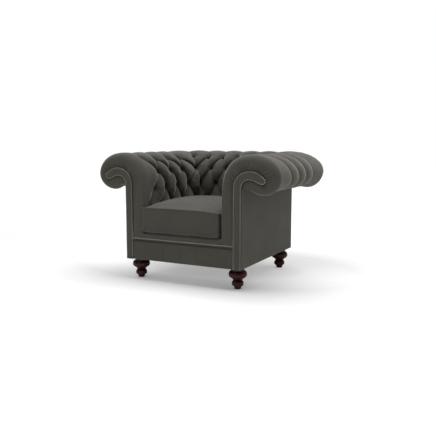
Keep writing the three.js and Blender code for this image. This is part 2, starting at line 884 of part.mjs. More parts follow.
// A corner block with the hole that the foot's bolt screws into.
function cornerBlock(side, low_y, foot_x, foot_y) {
  const outer = half_width + backing_out;
  const inner = outer - corner_block_width;
  const low = [Math.min(side * inner, side * outer), low_y, frame_bottom];
  const high = [
    Math.max(side * inner, side * outer),
    low_y + corner_block_depth,
    frame_bottom + corner_block_height,
  ];
  const bore = bolt_radius + clearance;
  const hole = turned(
    profilePoints([
      [0, frame_bottom - overrun],
      [bore, frame_bottom - overrun],
      [bore, bolt_top + clearance],
      [0, bolt_top + clearance],
    ]),
    bolt_sides,
  ).translate(foot_x, foot_y, 0);
  return geometryOf(solidOf(block(low, high)).subtract(solidOf(hole)));
}

const corners = [
  { name: "front_left", side: -1, front: true },
  { name: "front_right", side: 1, front: true },
  { name: "rear_left", side: -1, front: false },
  { name: "rear_right", side: 1, front: false },
].map(({ name, side, front }) => ({
  name,
  side,
  foot_x: side * (half_width - foot_inset_x),
  foot_y: front ? front_y + foot_inset_y : back_y - foot_inset_y,
  block_y: front ? post_back_y + clearance : back_y + backing_out - corner_block_depth,
}));

// The black cambric under the seat, with a round opening for each foot.
function dustCover() {
  const reach = half_width + frame_out;
  const sheet = new THREE.Shape();
  const low = post_front_y;
  const high = back_y + frame_out;
  sheet.moveTo(-reach, low);
  sheet.lineTo(reach, low);
  sheet.lineTo(reach, high);
  sheet.lineTo(-reach, high);
  for (const { foot_x, foot_y } of corners) {
    const hole = new THREE.Path();
    const radius = foot_shoulder_radius + dust_cover_gap;
    hole.absarc(foot_x, foot_y, radius, 0, 2 * Math.PI, true);
    sheet.holes.push(hole);
  }
  const bottom = body_bottom + clearance;
  const depth = frame_bottom - clearance - bottom;
  const options = { depth, bevelEnabled: false, curveSegments: 8 };
  return new THREE.ExtrudeGeometry(sheet, options).translate(0, 0, bottom);
}

const last_arm_column = arm_columns - 1;
const turn_columns = [...stepsBetween(last_arm_column, arm_columns, steps_per_column), arm_columns];

// The pieces that each arm has, on its own side.
for (const [word, side] of [
  ["left", -1],
  ["right", 1],
]) {
  const across = (near, far) => {
    const ends = [side * (half_width + near), side * (half_width + far)];
    return [Math.min(...ends), Math.max(...ends)];
  };
  const alongArm = (near, far, low_y, high_y, low, high) => {
    const [low_x, high_x] = across(near, far);
    return block([low_x, low_y, low], [high_x, high_y, high]);
  };
  const rail_low_y = post_back_y + clearance;
  const rail_high_y = rear_post_front_y - clearance;
  const seat_rail = alongArm(
    rail_in,
    frame_out,
    rail_low_y,
    rail_high_y,
    frame_bottom,
    seat_rail_top,
  );
  const tack_rail = alongArm(
    rail_in,
    frame_out,
    rail_low_y,
    rail_high_y,
    deck_top,
    deck_top + tack_rail_height,
  );
  const top_rail = alongArm(
    rail_in,
    frame_out,
    rail_low_y,
    rail_high_y,
    top_rail_top - top_rail_height,
    top_rail_top,
  );
  const lining = alongArm(
    lining_in,
    lining_out,
    rail_low_y,
    rail_high_y,
    deck_bottom,
    top_rail_top,
  );
  const panel = alongArm(
    -panel_thickness,
    0,
    border_front_y + border_cover + clearance,
    back_y,
    body_bottom,
    roll_end_height - clearance,
  );
  const rear_post = alongArm(
    lining_in,
    frame_out,
    rear_post_front_y,
    back_y + frame_out,
    frame_bottom,
    top_rail_top,
  );
  const post = plateAlongY(outlineOnSide(postOutline(), side), post_front_y, post_back_y);
  const core_start = post_back_y + clearance;
  const layout = armLayout(side);
  const core = rollCore([0, ...turn_columns], {
    ...layout,
    distanceOf: (column, along) => (column ? layout.distanceOf(column, along) : core_start),
  });
  addPart("side_seat_rail_" + word, seat_rail, "hardwood");
  addPart("arm_tack_rail_" + word, tack_rail, "hardwood");
  addPart("arm_top_rail_" + word, top_rail, "hardwood");
  addPart("front_post_" + word, post, "hardwood");
  addPart("rear_post_" + word, rear_post, "hardwood");
  addPart("arm_lining_" + word, lining, "lining");
  addPart("arm_roll_core_" + word, core, "foam");
  addPart("arm_pad_" + word, armPad(side), "cloth");
  addPart("arm_border_" + word, armBorder(side), "cloth");
  addPart("arm_facing_" + word, armFacing(side), "cloth");
  addPart("arm_nail_trim_" + word, armNails(side), "nail");
  addPart("outside_arm_panel_" + word, panel, "cloth");
}

// The rails, lining and panel of the back, between the rear posts.
const between_posts = half_width + backing_out;
function acrossBack(near, far, low, high) {
  return block([-between_posts, back_y + near, low], [between_posts, back_y + far, high]);
}
addPart("rear_seat_rail", acrossBack(rail_in, frame_out, frame_bottom, seat_rail_top), "hardwood");
addPart(
  "back_tack_rail",
  acrossBack(rail_in, frame_out, deck_top, deck_top + tack_rail_height),
  "hardwood",
);
addPart(
  "back_top_rail",
  acrossBack(rail_in, frame_out, top_rail_top - top_rail_height, top_rail_top),
  "hardwood",
);
addPart("back_lining", acrossBack(lining_in, lining_out, deck_bottom, top_rail_top), "lining");
const back_reach = back_half_columns + 1;
const back_turn = [
  ...stepsBetween(back_half_columns, back_reach, steps_per_column),
  back_reach,
];
const back_columns = [...back_turn.toReversed().map((column) => -column), ...back_turn];
addPart("back_roll_core", rollCore(back_columns, back_layout), "foam");
addPart("back_pad", backPad(), "cloth");
const panel_reach = half_width - panel_thickness - clearance;
addPart(
  "outside_back_panel",
  block(
    [-panel_reach, back_y - panel_thickness, body_bottom],
    [panel_reach, back_y, roll_end_height - clearance],
  ),
  "cloth",
);

// The front rail and what covers it.
addPart(
  "front_seat_rail",
  block(
    [-between_posts, post_front_y, frame_bottom],
    [between_posts, post_back_y, seat_rail_top],
  ),
  "hardwood",
);
const front_reach = half_width - facing_width;
addPart(
  "front_rail_cover",
  block(
    [-front_reach, front_y + front_cover_set_back, body_bottom],
    [front_reach, post_front_y - clearance, deck_bottom - clearance],
  ),
  "cloth",
);
addPart("front_lip_pad", lipPad(), "cloth");
addPart("front_nail_trim", frontNails(), "nail");

// The sprung seat.
for (let index = 0; index < spring_count; index++) {
  const spacing = (2 * between_posts) / (spring_count + 1);
  const centre_x = -between_posts + spacing * (index + 1);
  addPart("seat_spring_" + (index + 1), sinuousSpring(centre_x), "steel");
}
addPart(
  "seat_deck",
  block(
    [-between_posts, post_back_y + clearance, deck_bottom],
    [between_posts, back_y + backing_out, deck_top],
  ),
  "foam",
);
addPart("dust_cover", dustCover(), "lining");

// The loose cushion.
addPart("seat_cushion", cushionCover(), "cloth");
addPart("cushion_core", cushionBlock(cushion_wadding + clearance), "foam");
addPart(
  "cushion_zip",
  block(
    [-zip_half_length + clearance, zip_front_y, zip_low + clearance],
    [
      zip_half_length - clearance,
      cushion_rear_y - cushion_draw_in,
      zip_low + zip_height - clearance,
    ],
  ),
  "lining",
);

// The feet and what screws them to the frame.
for (const { name, side, foot_x, foot_y, block_y } of corners) {
  addPart("corner_block_" + name, cornerBlock(side, block_y, foot_x, foot_y), "hardwood");
  addPart("foot_" + name, footGeometry(), "mahogany").position.set(foot_x, foot_y, 0);
  addPart("hanger_bolt_" + name, hangerBolt(), "steel").position.set(foot_x, foot_y, 0);
}

export default chair;
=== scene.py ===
import math
from collections import namedtuple

import bpy
import numpy as np
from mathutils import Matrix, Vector


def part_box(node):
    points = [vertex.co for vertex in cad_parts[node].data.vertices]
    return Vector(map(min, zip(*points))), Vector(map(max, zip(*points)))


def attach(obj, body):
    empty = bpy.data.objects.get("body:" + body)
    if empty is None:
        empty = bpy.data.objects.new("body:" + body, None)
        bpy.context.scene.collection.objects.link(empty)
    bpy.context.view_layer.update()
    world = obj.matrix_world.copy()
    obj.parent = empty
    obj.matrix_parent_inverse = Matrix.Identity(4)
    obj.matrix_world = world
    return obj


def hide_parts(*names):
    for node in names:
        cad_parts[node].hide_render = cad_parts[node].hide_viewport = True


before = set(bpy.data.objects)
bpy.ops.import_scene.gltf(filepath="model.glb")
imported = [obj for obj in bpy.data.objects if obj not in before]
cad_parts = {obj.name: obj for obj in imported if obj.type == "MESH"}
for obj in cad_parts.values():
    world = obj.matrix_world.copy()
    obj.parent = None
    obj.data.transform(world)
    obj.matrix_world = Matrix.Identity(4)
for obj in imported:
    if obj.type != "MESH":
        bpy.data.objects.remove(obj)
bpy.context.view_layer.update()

scene = bpy.context.scene
scene.view_settings.view_transform = "Standard"


# Camera, at the photograph's own viewing place: a little above the seat, and round to the chair's
# right-hand side, with a lens that gives the same convergence.
camera_azimuth = math.radians(27.33)
camera_elevation = math.radians(7.71)
camera_distance = 3.809
camera_focal_length = 49.54
camera_aim = Vector((0.0314, -0.0900, 0.3491))

towards_camera = Vector((
    math.sin(camera_azimuth) * math.cos(camera_elevation),
    -math.cos(camera_azimuth) * math.cos(camera_elevation),
    math.sin(camera_elevation),
))
camera_data = bpy.data.cameras.new("camera")
camera_data.lens = camera_focal_length
camera_data.sensor_width = 36
camera = bpy.data.objects.new("camera", camera_data)
camera.location = camera_aim + camera_distance * towards_camera
camera.rotation_mode = "QUATERNION"
camera.rotation_quaternion = (-towards_camera).to_track_quat("-Z", "Y")
scene.collection.objects.link(camera)
scene.camera = camera


# Floor and light: a white floor with a glow seen only by the camera, painted light that lifts the
# chair's shadow in an oval under it, and brings the floor to white further out; a wide soft lamp
# overhead, and weak ones from the front and by the right arm.
floor_reach = 14
floor_tone = (0.86, 0.86, 0.86, 1)
glow_middle = (-0.12, 0.09, 0.0)
glow_narrowed = (0.564, 1.0, 1.0)
shaded_reach, shaded_glow = (0.38, 0.586), (0.345, 0.09)
far_reach, far_glow = (0.8, 2.6), (0, 0.45)
studio_light, mirrored_light = 0.60, 0.2
lamps = {  # each with its place, its aim, its width and its watts
    "overhead": ((0.1, 0.0, 2.9), (0, -0.05, 0.4), 2.4, 70),
    "side": ((3.2, 1.2, 1.6), (0.2, 0, 0.4), 1.6, 2),
    "front": ((-0.6, -3.2, 2.4), (0, 0, 0.4), 1.0, 8),
}


def linear(red, green, blue):
    """A colour written as 0 to 255 on screen, as the renderer's own light values."""
    shares = np.array([red, green, blue]) / 255
    light = np.where(shares <= 0.04045, shares / 12.92, ((shares + 0.055) / 1.055) ** 2.4)
    return (*light.tolist(), 1.0)


def add_node(tree, kind, *inputs, output=0, **settings):
    """Adds a shader node and returns one of its outputs. Each input is a socket with its value, or
    with the output that feeds it."""
    made = tree.nodes.new("ShaderNode" + kind)
    for name, value in settings.items():
        setattr(made, name, value)
    for socket, value in inputs:
        if isinstance(value, bpy.types.NodeSocket):
            tree.links.new(value, made.inputs[socket])
        else:
            made.inputs[socket].default_value = value
    return made.outputs[output] if len(made.outputs) else None


def calculated(tree, operation, *values, kind="Math", output=0):
    """What a maths node makes of its values."""
    return add_node(tree, kind, *enumerate(values), output=output, operation=operation)


def ranged(tree, value, source=(0, 1), target=(0, 1)):
    """A value carried over from one range to another, and held at its ends."""
    names = ("From Min", "From Max", "To Min", "To Max")
    return add_node(tree, "MapRange", ("Value", value), *zip(names, (*source, *target)))


def seen_directly(tree):
    """1 for rays that come straight from the camera, or on through something clear."""
    kinds = ("Is Camera Ray", "Is Transmission Ray")
    rays = [add_node(tree, "LightPath", output=kind) for kind in kinds]
    return calculated(tree, "MAXIMUM", *rays)


def empty_tree(owner):
    """The cleared shader tree of a material or world."""
    owner.use_nodes = True
    owner.node_tree.nodes.clear()
    return owner.node_tree


def soft_lamp(name, place, aim, width, watts):
    """A square lamp of the given width that faces its aim."""
    light = bpy.data.lights.new(name, "AREA")
    light.size = width
    light.energy = watts
    lamp = bpy.data.objects.new(name, light)
    lamp.location = place
    lamp.rotation_mode = "QUATERNION"
    lamp.rotation_quaternion = (Vector(aim) - Vector(place)).to_track_quat("-Z", "Y")
    scene.collection.objects.link(lamp)


floor_mesh = bpy.data.meshes.new("floor")
floor_corners = [(-1, -1, 0), (1, -1, 0), (1, 1, 0), (-1, 1, 0)]
floor_mesh.from_pydata((np.array(floor_corners) * floor_reach).tolist(), [], [(0, 1, 2, 3)])
floor = bpy.data.objects.new("floor", floor_mesh)
scene.collection.objects.link(floor)
floor_finish = bpy.data.materials.new("floor")
tree = empty_tree(floor_finish)
matt = add_node(tree, "BsdfDiffuse", ("Color", floor_tone))
place = add_node(tree, "TexCoord", output="Object")
from_middle = calculated(tree, "SUBTRACT", place, glow_middle, kind="VectorMath")
narrowed = calculated(tree, "MULTIPLY", from_middle, glow_narrowed, kind="VectorMath")
distance = calculated(tree, "LENGTH", narrowed, kind="VectorMath", output="Value")
# Painted light: the glow lifts the shadow in an oval under the chair, drops past it, and rises
# again far out.
shaded = ranged(tree, distance, shaded_reach, shaded_glow)
glow = calculated(tree, "ADD", shaded, ranged(tree, distance, far_reach, far_glow))
seen_glow = calculated(tree, "MULTIPLY", seen_directly(tree), glow)
shining = add_node(tree, "Emission", ("Strength", seen_glow))
add_node(tree, "OutputMaterial", ("Surface", add_node(tree, "AddShader", (0, matt), (1, shining))))
floor_mesh.materials.append(floor_finish)

world = bpy.data.worlds.new("studio")
scene.world = world
tree = empty_tree(world)
in_mirrors = add_node(tree, "LightPath", output="Is Glossy Ray")
unseen = ranged(tree, in_mirrors, target=(studio_light, mirrored_light))
brightness = ranged(tree, seen_directly(tree), target=(unseen, 1.0))
sky = add_node(tree, "Background", ("Color", (1, 1, 1, 1)), ("Strength", brightness))
add_node(tree, "OutputWorld", ("Surface", sky))

for name, settings in lamps.items():
    soft_lamp(name, *settings)


# The hardwood frame: planed beech rails, posts and corner blocks, glued and dowelled. It is hidden
# by the covers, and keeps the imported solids.
beech_tones = linear(203, 164, 112), linear(168, 124, 78)
beech_grain = (6.0, 8.0, 0.6)
beech_stretch = (14, 14, 2.2)
beech_relief = (0.0003, 1.0)


def new_finish(name, **values):
    """A material whose shader sockets have the given values; returns it, its tree and the socket
    that says where on the object it is."""
    finish = bpy.data.materials.new(name)
    finish.use_nodes = True
    shader = finish.node_tree.nodes["Principled BSDF"]
    for socket, value in values.items():
        shader.inputs[socket.replace("_", " ")].default_value = value
    return finish, finish.node_tree, add_node(finish.node_tree, "TexCoord", output="Object")


def noise(tree, place, scale, detail=2.0, distortion=0.0):
    """Soft noise between 0 and 1."""
    return add_node(
        tree, "TexNoise", ("Vector", place), ("Scale", scale), ("Detail", detail),
        ("Distortion", distortion), output="Fac",
    )


def mixed(tree, share, low, high):
    """The colour that lies the given share of the way from low to high."""
    return add_node(tree, "Mix", (0, share), (6, low), (7, high), output=2, data_type="RGBA")


def surfaced(tree, colour, height=None, distance=0.0, strength=1.0):
    """Gives the shader its colour, and tilts its surface by a height up to the given distance."""
    shader = tree.nodes["Principled BSDF"]
    tree.links.new(colour, shader.inputs["Base Color"])
    if height is not None:
        bump = add_node(
            tree, "Bump", ("Height", height), ("Distance", distance), ("Strength", strength),
        )
        tree.links.new(bump, shader.inputs["Normal"])


def grained(name, tones, grain, relief=None, stretch=(1, 1, 1), **values):
    """A material of noise (its scale, detail and distortion) between two tones, which can be drawn
    out along an axis and stand up in relief (its distance and strength)."""
    finish, tree, place = new_finish(name, **values)
    place = add_node(tree, "Mapping", ("Vector", place), ("Scale", stretch))
    level = noise(tree, place, *grain)
    surfaced(tree, mixed(tree, level, *tones), *((level, *relief) if relief else ()))
    return finish


def finish_nodes(material, *starts):
    """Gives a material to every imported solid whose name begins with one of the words."""
    for name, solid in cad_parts.items():
        if name.startswith(starts):
            solid.data.materials.clear()
            solid.data.materials.append(material)


beech = grained("beech", beech_tones, beech_grain, beech_relief, beech_stretch, Roughness=0.62)
finish_nodes(
    beech, "side_seat_rail", "arm_tack_rail", "arm_top_rail", "front_post", "rear_post",
    "front_seat_rail", "rear_seat_rail", "back_tack_rail", "back_top_rail", "corner_block",
)


# Springs, bolts and the stuff inside the padding: bright steel wire, cream foam with its open
# cells, and black cambric stapled under the seat.
foam_tones = linear(216, 207, 174), linear(188, 174, 132)
foam_patch_scale = 9.0
foam_cell_scale = 420.0
foam_relief = 0.0008
cambric_tones = linear(24, 23, 22), linear(46, 45, 43)
cambric_pitch = 0.0011
cambric_relief = 0.0002
wire_tones = linear(150, 152, 155), linear(104, 104, 102)
wire_grain = (60.0, 4.0)


def foam():
    """Open cells: small round pits over slow patches of a yellower cream."""
    finish, tree, place = new_finish("foam", Roughness=0.95)
    cells = add_node(
        tree, "TexVoronoi", ("Vector", place), ("Scale", foam_cell_scale), output="Distance",
    )
    patches = noise(tree, place, foam_patch_scale)
    surfaced(tree, mixed(tree, patches, *foam_tones), cells, foam_relief)
    return finish


def thread_grid(tree, place, pitch):
    """Warp and weft as one height: the product of two sine waves a thread apart, plus a half."""
    waves = []
    for axis in ("X", "Y"):
        along = add_node(tree, "SeparateXYZ", ("Vector", place), output=axis)
        turns = calculated(tree, "MULTIPLY", along, math.pi / pitch)
        waves.append(calculated(tree, "SINE", turns))
    return ranged(tree, calculated(tree, "MULTIPLY", *waves), source=(-1, 1))


def cambric():
    """Thin black cloth with an open weave."""
    finish, tree, place = new_finish("black cambric", Roughness=0.85)
    threads = thread_grid(tree, place, cambric_pitch)
    surfaced(tree, mixed(tree, threads, *cambric_tones), threads, cambric_relief)
    return finish


black_cambric = cambric()
bright_wire = grained("steel wire", wire_tones, wire_grain, Roughness=0.32, Metallic=1.0)
finish_nodes(foam(), "arm_roll_core", "back_roll_core", "cushion_core")
finish_nodes(black_cambric, "arm_lining", "back_lining", "dust_cover")
finish_nodes(bright_wire, "seat_spring", "hanger_bolt")


# The upholstery cloth, a thick wool-like plain weave in warm dark grey. Painted shade darkens its
# colour in pleats and hollows, crowns keep full tone, and the pile catches light at a slant.
cloth_grey = linear(65, 63, 57)
cloth_pale = linear(76, 74, 67)
painted_shade_colour = linear(15, 14, 13)
fleck_dark = linear(50, 48, 43)
fleck_noise = (520.0, 3.0)
fleck_range, fleck_weight = (0.55, 0.75), (0, 0.55)
patch_noise = (7.0, 3.0)
thread_pitch = 0.0013
thread_relief = (0.00035, 0.8)
sheen_weight = 0.46
sheen_roughness = 0.36
sheen_tint = (0.82, 0.8, 0.74, 1)
cloth_shine = 0.25


def upholstery_cloth():
    """Threads from the piece's own weave coordinates, flecks and patches from its place, and the
    crown attribute as painted shade, from near-black in pleats and hollows (0) to full tone (1)."""
    finish, tree, place = new_finish(
        "upholstery cloth", Roughness=0.9, Sheen_Weight=sheen_weight,
        Sheen_Roughness=sheen_roughness, Sheen_Tint=sheen_tint, Specular_IOR_Level=cloth_shine,
    )
    crown = add_node(tree, "Attribute", output="Fac", attribute_name="crown")
    threads = thread_grid(tree, add_node(tree, "UVMap", uv_map="weave"), thread_pitch)
    flecks = noise(tree, place, *fleck_noise)
    shade = mixed(tree, noise(tree, place, *patch_noise), cloth_grey, cloth_pale)
    speckled = mixed(tree, ranged(tree, flecks, fleck_range, fleck_weight), shade, fleck_dark)
    # Painted shade: the crown attribute mixes the colour down to near-black in pleats and hollows.
    toned = mixed(tree, crown, painted_shade_colour, speckled)
    surfaced(tree, toned, calculated(tree, "ADD", threads, flecks), *thread_relief)
    return finish


cloth = upholstery_cloth()


# The outside panels: cloth drawn flat over card on the frame, tacked under the rails and turned
# round a rounded edge at each rear corner, where they meet in a close seam.
facing_low, facing_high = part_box("arm_facing_right")
side_low, side_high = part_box("outside_arm_panel_right")
half_width = side_high.x
front_y, facing_back, back_y = facing_low.y, facing_high.y, side_high.y
body_bottom = side_low.z
panel_height = side_high.z - body_bottom
panel_puff = 0.0025
panel_edge = 0.006
panel_depth = 1.6 * panel_edge
panel_step = 0.012
panel_edge_steps = 5
panel_unevenness, uneven_length, uneven_reach = 0.0005, 0.21, 0.03
panel_seeds = {"left": 10, "right": 12, "back": 31}
seam_gap = 0.0006
crease_angle = math.radians(58)
both_sides = (("left", -1), ("right", 1))


def smoothstep(value, low, high):
    """0 below low, 1 above high, and a cubic ease between them."""
    share = np.clip((value - low) / (high - low), 0, 1)
    return share * share * (3 - 2 * share)


def mix(low, high, share):
    """The value that lies the given share of the way from low to high."""
    return low + (high - low) * share


def ripple(u, v, wavelength, seed):
    """Soft unevenness, mostly between -1 and 1: a third of the sum of six sine waves that cross
    at headings and phases drawn from a seeded generator."""
    draws = np.random.default_rng(seed).uniform(0, 2 * np.pi, (6, 2))
    waves = [
        np.sin(2 * np.pi * (u * np.cos(turn) + v * np.sin(turn)) / wavelength + phase)
        for turn, phase in draws
    ]
    return sum(waves) / 3


def spread(*values):
    """Values brought to one shape and stacked as the last axis."""
    return np.stack(np.broadcast_arrays(*values), -1)


def grid_faces(rows, columns, wrapped=False, start=0):
    """Four-cornered faces between the neighbours of a grid of points. A wrapped grid also joins
    its last column to its first."""
    across = columns if wrapped else columns - 1
    row, column = np.meshgrid(np.arange(rows - 1), np.arange(across), indexing="ij")
    beside = (column + 1) % columns
    corners = [
        row * columns + column, row * columns + beside,
        (row + 1) * columns + beside, (row + 1) * columns + column,
    ]
    return (np.stack(corners, -1).reshape(-1, 4) + start).tolist()


def closed_faces(rows, columns):
    """The faces of a wrapped grid, with a many-cornered one over its first and its last row."""
    last = (rows - 1) * columns
    caps = [list(range(columns))[::-1], list(range(last, last + columns))]
    return grid_faces(rows, columns, wrapped=True) + caps


def grid_rim(rows, columns):
    """The numbers of a grid's outer points, in order round it."""
    return np.r_[
        np.arange(columns), np.arange(1, rows) * columns + columns - 1,
        (rows - 1) * columns + np.arange(columns - 2, -1, -1), np.arange(rows - 2, 0, -1) * columns,
    ]


def make_piece(name, points, faces, weave=None, crown=None, closed=True):
    """A mesh at the origin, smooth apart from its sharp edges. A closed one whose faces enclose a
    negative volume, each taken as a wedge to the origin, is turned to face out. weave is a pair of
    lengths for each point, and crown a value of painted shade, from 0, darkest as in a pleat, to 1,
    full tone as on a pillow."""
    points = np.asarray(points, float).reshape(-1, 3)
    mesh = bpy.data.meshes.new(name)
    mesh.from_pydata(points.tolist(), [], faces)
    if closed:
        mesh.calc_loop_triangles()
        corners = np.empty(len(mesh.loop_triangles) * 3, np.int32)
        mesh.loop_triangles.foreach_get("vertices", corners)
        a, b, c = points[corners.reshape(-1, 3)].transpose(1, 0, 2)
        if np.einsum("ij,ij->", a, np.cross(b, c)) < 0:
            mesh.flip_normals()
    owners = np.empty(len(mesh.loops), np.int32)
    mesh.loops.foreach_get("vertex_index", owners)
    flat = points[:, :2] if weave is None else np.asarray(weave, float).reshape(-1, 2)
    mesh.uv_layers.new(name="weave").data.foreach_set("uv", flat[owners].ravel())
    level = np.ones(len(points)) if crown is None else np.asarray(crown, float).ravel()
    mesh.attributes.new("crown", "FLOAT", "POINT").data.foreach_set("value", level)
    mesh.polygons.foreach_set("use_smooth", np.ones(len(mesh.polygons), bool))
    mesh.set_sharp_from_angle(angle=crease_angle)
    piece = bpy.data.objects.new(name, mesh)
    scene.collection.objects.link(piece)
    return piece


def sheet_pair(name, front, back, weave=None):
    """A closed piece of two grids of points that match, joined round their rims."""
    shape = front.shape[:2]
    count = shape[0] * shape[1]
    rim = grid_rim(*shape)
    after = np.roll(rim, -1)
    faces = grid_faces(*shape) + [face[::-1] for face in grid_faces(*shape, start=count)]
    faces += np.stack([after, rim, rim + count, after + count], -1).tolist()
    return make_piece(name, [front, back], faces, None if weave is None else [weave, weave])


def dress(piece, material, body, slot, *nodes):
    """Gives a piece its material, the body that it moves with and the solids that it stands for."""
    piece.data.materials.append(material)
    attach(piece, body)
    if nodes:
        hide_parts(*nodes)
    return piece


def flat_panel(name, width, height, place, seed):
    """A thin padded panel: a front sheet whose edges turn back by a quarter circle, and a plain
    sheet behind. place turns (along, up, out) arrays into coordinates."""
    edge = panel_edge * (1 - np.cos(np.linspace(0, np.pi / 2, panel_edge_steps)))
    across, rise = np.meshgrid(*(
        np.r_[
            edge, np.linspace(panel_edge, size - panel_edge, int(size / panel_step) + 1)[1:-1],
            (size - edge)[::-1],
        ] for size in (width, height)
    ), indexing="ij")
    inset = np.minimum(np.minimum(across, width - across), np.minimum(rise, height - rise))
    from_arc = panel_edge - np.minimum(inset, panel_edge)
    rounding = np.sqrt(np.maximum(panel_edge**2 - from_arc**2, 0))
    belly = np.sin(np.pi * across / width) * np.sin(np.pi * rise / height)
    out = rounding - panel_edge + panel_puff * belly
    calmer = np.minimum(inset / uneven_reach, 1)
    out += panel_unevenness * ripple(across, rise, uneven_length, seed) * calmer
    front, back = (spread(*place(across, rise, depth)) for depth in (out, -panel_depth))
    return sheet_pair(name, front, back, spread(across, rise))


for word, side in both_sides:
    panel = flat_panel(
        "outside_panel_" + word, back_y - facing_back - seam_gap, panel_height,
        lambda along, up, out:
            (side * (half_width + out), facing_back + seam_gap + along, body_bottom + up),
        panel_seeds[word],
    )
    dress(panel, cloth, "chair", "cloth", "outside_arm_panel_" + word)
panel_reach = half_width - seam_gap
back_panel = flat_panel(
    "outside_panel_back", 2 * panel_reach, panel_height,
    lambda along, up, out: (along - panel_reach, back_y + out, body_bottom + up),
    panel_seeds["back"],
)
dress(back_panel, cloth, "chair", "cloth", "outside_back_panel")


# The buttoned padding of the arms and the back: cloth drawn over curled hair and wadding, and
# pulled through to the lining by buttons in four staggered rows. Folded pleats run slanting
# between them, straight down to the seat from the lowest row, and over the roll from the top one.
pad_low, pad_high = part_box("arm_pad_right")
border_low, border_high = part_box("arm_border_right")
pad_reach = half_width - pad_low.x
pad_bottom = pad_low.z
seam_y = border_high.y
roll_overhang = pad_high.x - half_width
crest_marks = [
    (-pad_reach, 0.600), (0.045, 0.765), (roll_overhang, 0.641), (0.113, 0.553), (0, 0.5853),
]
crest_guides = [
    ((0, 0.6), (0.6, 0)), ((0.62, 0), (0, 0.5)), ((0, 0.55), (0.55, 0)), ((0.35, 0), (0.35, 0.35)),
]
crest_steps = 120
lining_out = 0.0371
roll_thickness = 0.045
pad_edge_thickness = 0.010

row_height = 0.550
row_pitch = 0.110
rows_below, rows_above = 1, 2
arm_first_run = front_y + 0.1565
arm_lean, arm_lean_lost, arm_lean_ease = 0.042, 0.5, 0.05
arm_drift = 0.150
mitre_gap = 0.0003
pleat_depth, roll_pleat_depth = 0.032, 0.009
pleat_rounding = 0.07
pillow_power = 0.37
pillow_sag = 0.020
button_depth, top_button_depth = 0.026, 0.018
button_reach = 0.022
button_shade, button_shade_reach = 0.85, 0.015
pinch_depth = 0.0018
pinch_folds = 9
pinch_reach, pinch_clear = 0.040, 0.012
lower_recess, recess_reach = 0.010, 0.10
corner_fill, corner_fill_reach = 0.018, 0.05
corner_drop, corner_drop_reaches = 0.020, (0.02, 0.12, 0.12, 0.28)
corner_taper, corner_taper_reach = 0.028, (0.02, 0.17)
taper_at_ends, taper_ease = 0.25, 0.3
pad_unevenness, fine_share, roll_calm = 0.0011, 0.35, 0.6
uneven_lengths = (0.16, 0.035)
seam_calm_reach, seam_sag_reach = 0.04, 0.12
pleat_shade_height, least_crown = 0.2, 0.6
button_codes = (3.7, 1.9)
pad_step, crest_step, backing_steps = 0.0042, 0.00357, 30


def rise_and_fall(value, low, high, falling, gone):
    """0 below low, 1 from high to falling and 0 again past gone, with eased flanks."""
    return smoothstep(value, low, high) * (1 - smoothstep(value, falling, gone))


def bell(distance, reach):
    """1 at no distance, falling as a bell curve."""
    return np.exp(-((distance / reach) ** 2))


def lengths_along(path):
    """The distance travelled at each point of a path."""
    return np.r_[0, np.cumsum(np.linalg.norm(np.diff(path, axis=0), axis=1))]


def bezier(start, guide_a, guide_b, end, steps):
    """A cubic curve through start and end, drawn towards two guides, at even steps."""
    t = np.linspace(0, 1, steps)[:, None]
    s = 1 - t
    return s**3 * start + 3 * s * s * t * guide_a + 3 * s * t * t * guide_b + t**3 * end


def crest_curve():
    """The section of the padding's crest as (out, up) points: straight up the inside face, an
    oval shoulder, the fall of the roll, its underside and the tuck back to the panel. Each guide
    lies at shares of the step between two marks."""
    marks = np.array(crest_marks)
    runs = [np.linspace([-pad_reach, pad_bottom], marks[0], crest_steps)]
    for start, end, guides in zip(marks, marks[1:], np.array(crest_guides)):
        guide_a, guide_b = guides * (end - start)
        runs.append(bezier(start, start + guide_a, end - guide_b, end, crest_steps)[1:])
    return np.concatenate(runs)


crest_points = crest_curve()
crest_along = lengths_along(crest_points)
crest_length = crest_along[-1]
crest_slope = np.gradient(crest_points, crest_along, axis=0)
roll_top_along, roll_widest_along, roll_under_along = (
    crest_along[mark * (crest_steps - 1)] for mark in (2, 3, 4)
)
row_along = row_height - pad_bottom
mid_row_along = row_along + row_pitch
top_row_along = mid_row_along + row_pitch
arm_pitches = (0.135, 0.140, 0.1215, roll_under_along)
back_pitches = (0.118, 0.106, 0.132, roll_top_along)

# Distances along the crest between which the padding changes.
corner_pillow = (row_along - 0.06, row_along, mid_row_along - 0.05, mid_row_along)
recess_end = (row_along - 0.07, row_along + 0.02)
sagging = (row_along - 0.16, row_along - 0.04, top_row_along - 0.02, roll_top_along)
flattening = (mid_row_along + 0.04, roll_top_along - 0.02)
past_rows = (top_row_along + 0.02, roll_top_along + 0.06)
tucking_in = (roll_under_along - 0.05, crest_length)


def crest_at(along):
    """Where a distance along the crest lies, (out, up), and the direction that faces out there."""
    out, up, run, rise = (
        np.interp(along, crest_along, values) for values in (*crest_points.T, *crest_slope.T)
    )
    length = np.hypot(run, rise)
    return out, up, -rise / length, run / length


def padding_thickness(along):
    """Full depth on the inside face, thinner round the roll, thinnest where it is tucked in."""
    over = smoothstep(along, mid_row_along, roll_top_along)
    tuck = smoothstep(along, roll_under_along, crest_length)
    return mix(mix(pad_reach - lining_out, roll_thickness, over), pad_edge_thickness, tuck)


def mitre_run(straight_run, out):
    """How far an arm or the back runs before it meets its neighbour on the corner's mitre: an
    eighth of a turn further past the panel's plane, and that much less inside it."""
    return straight_run + np.where(out > 0, out * np.pi / 4, out) - mitre_gap


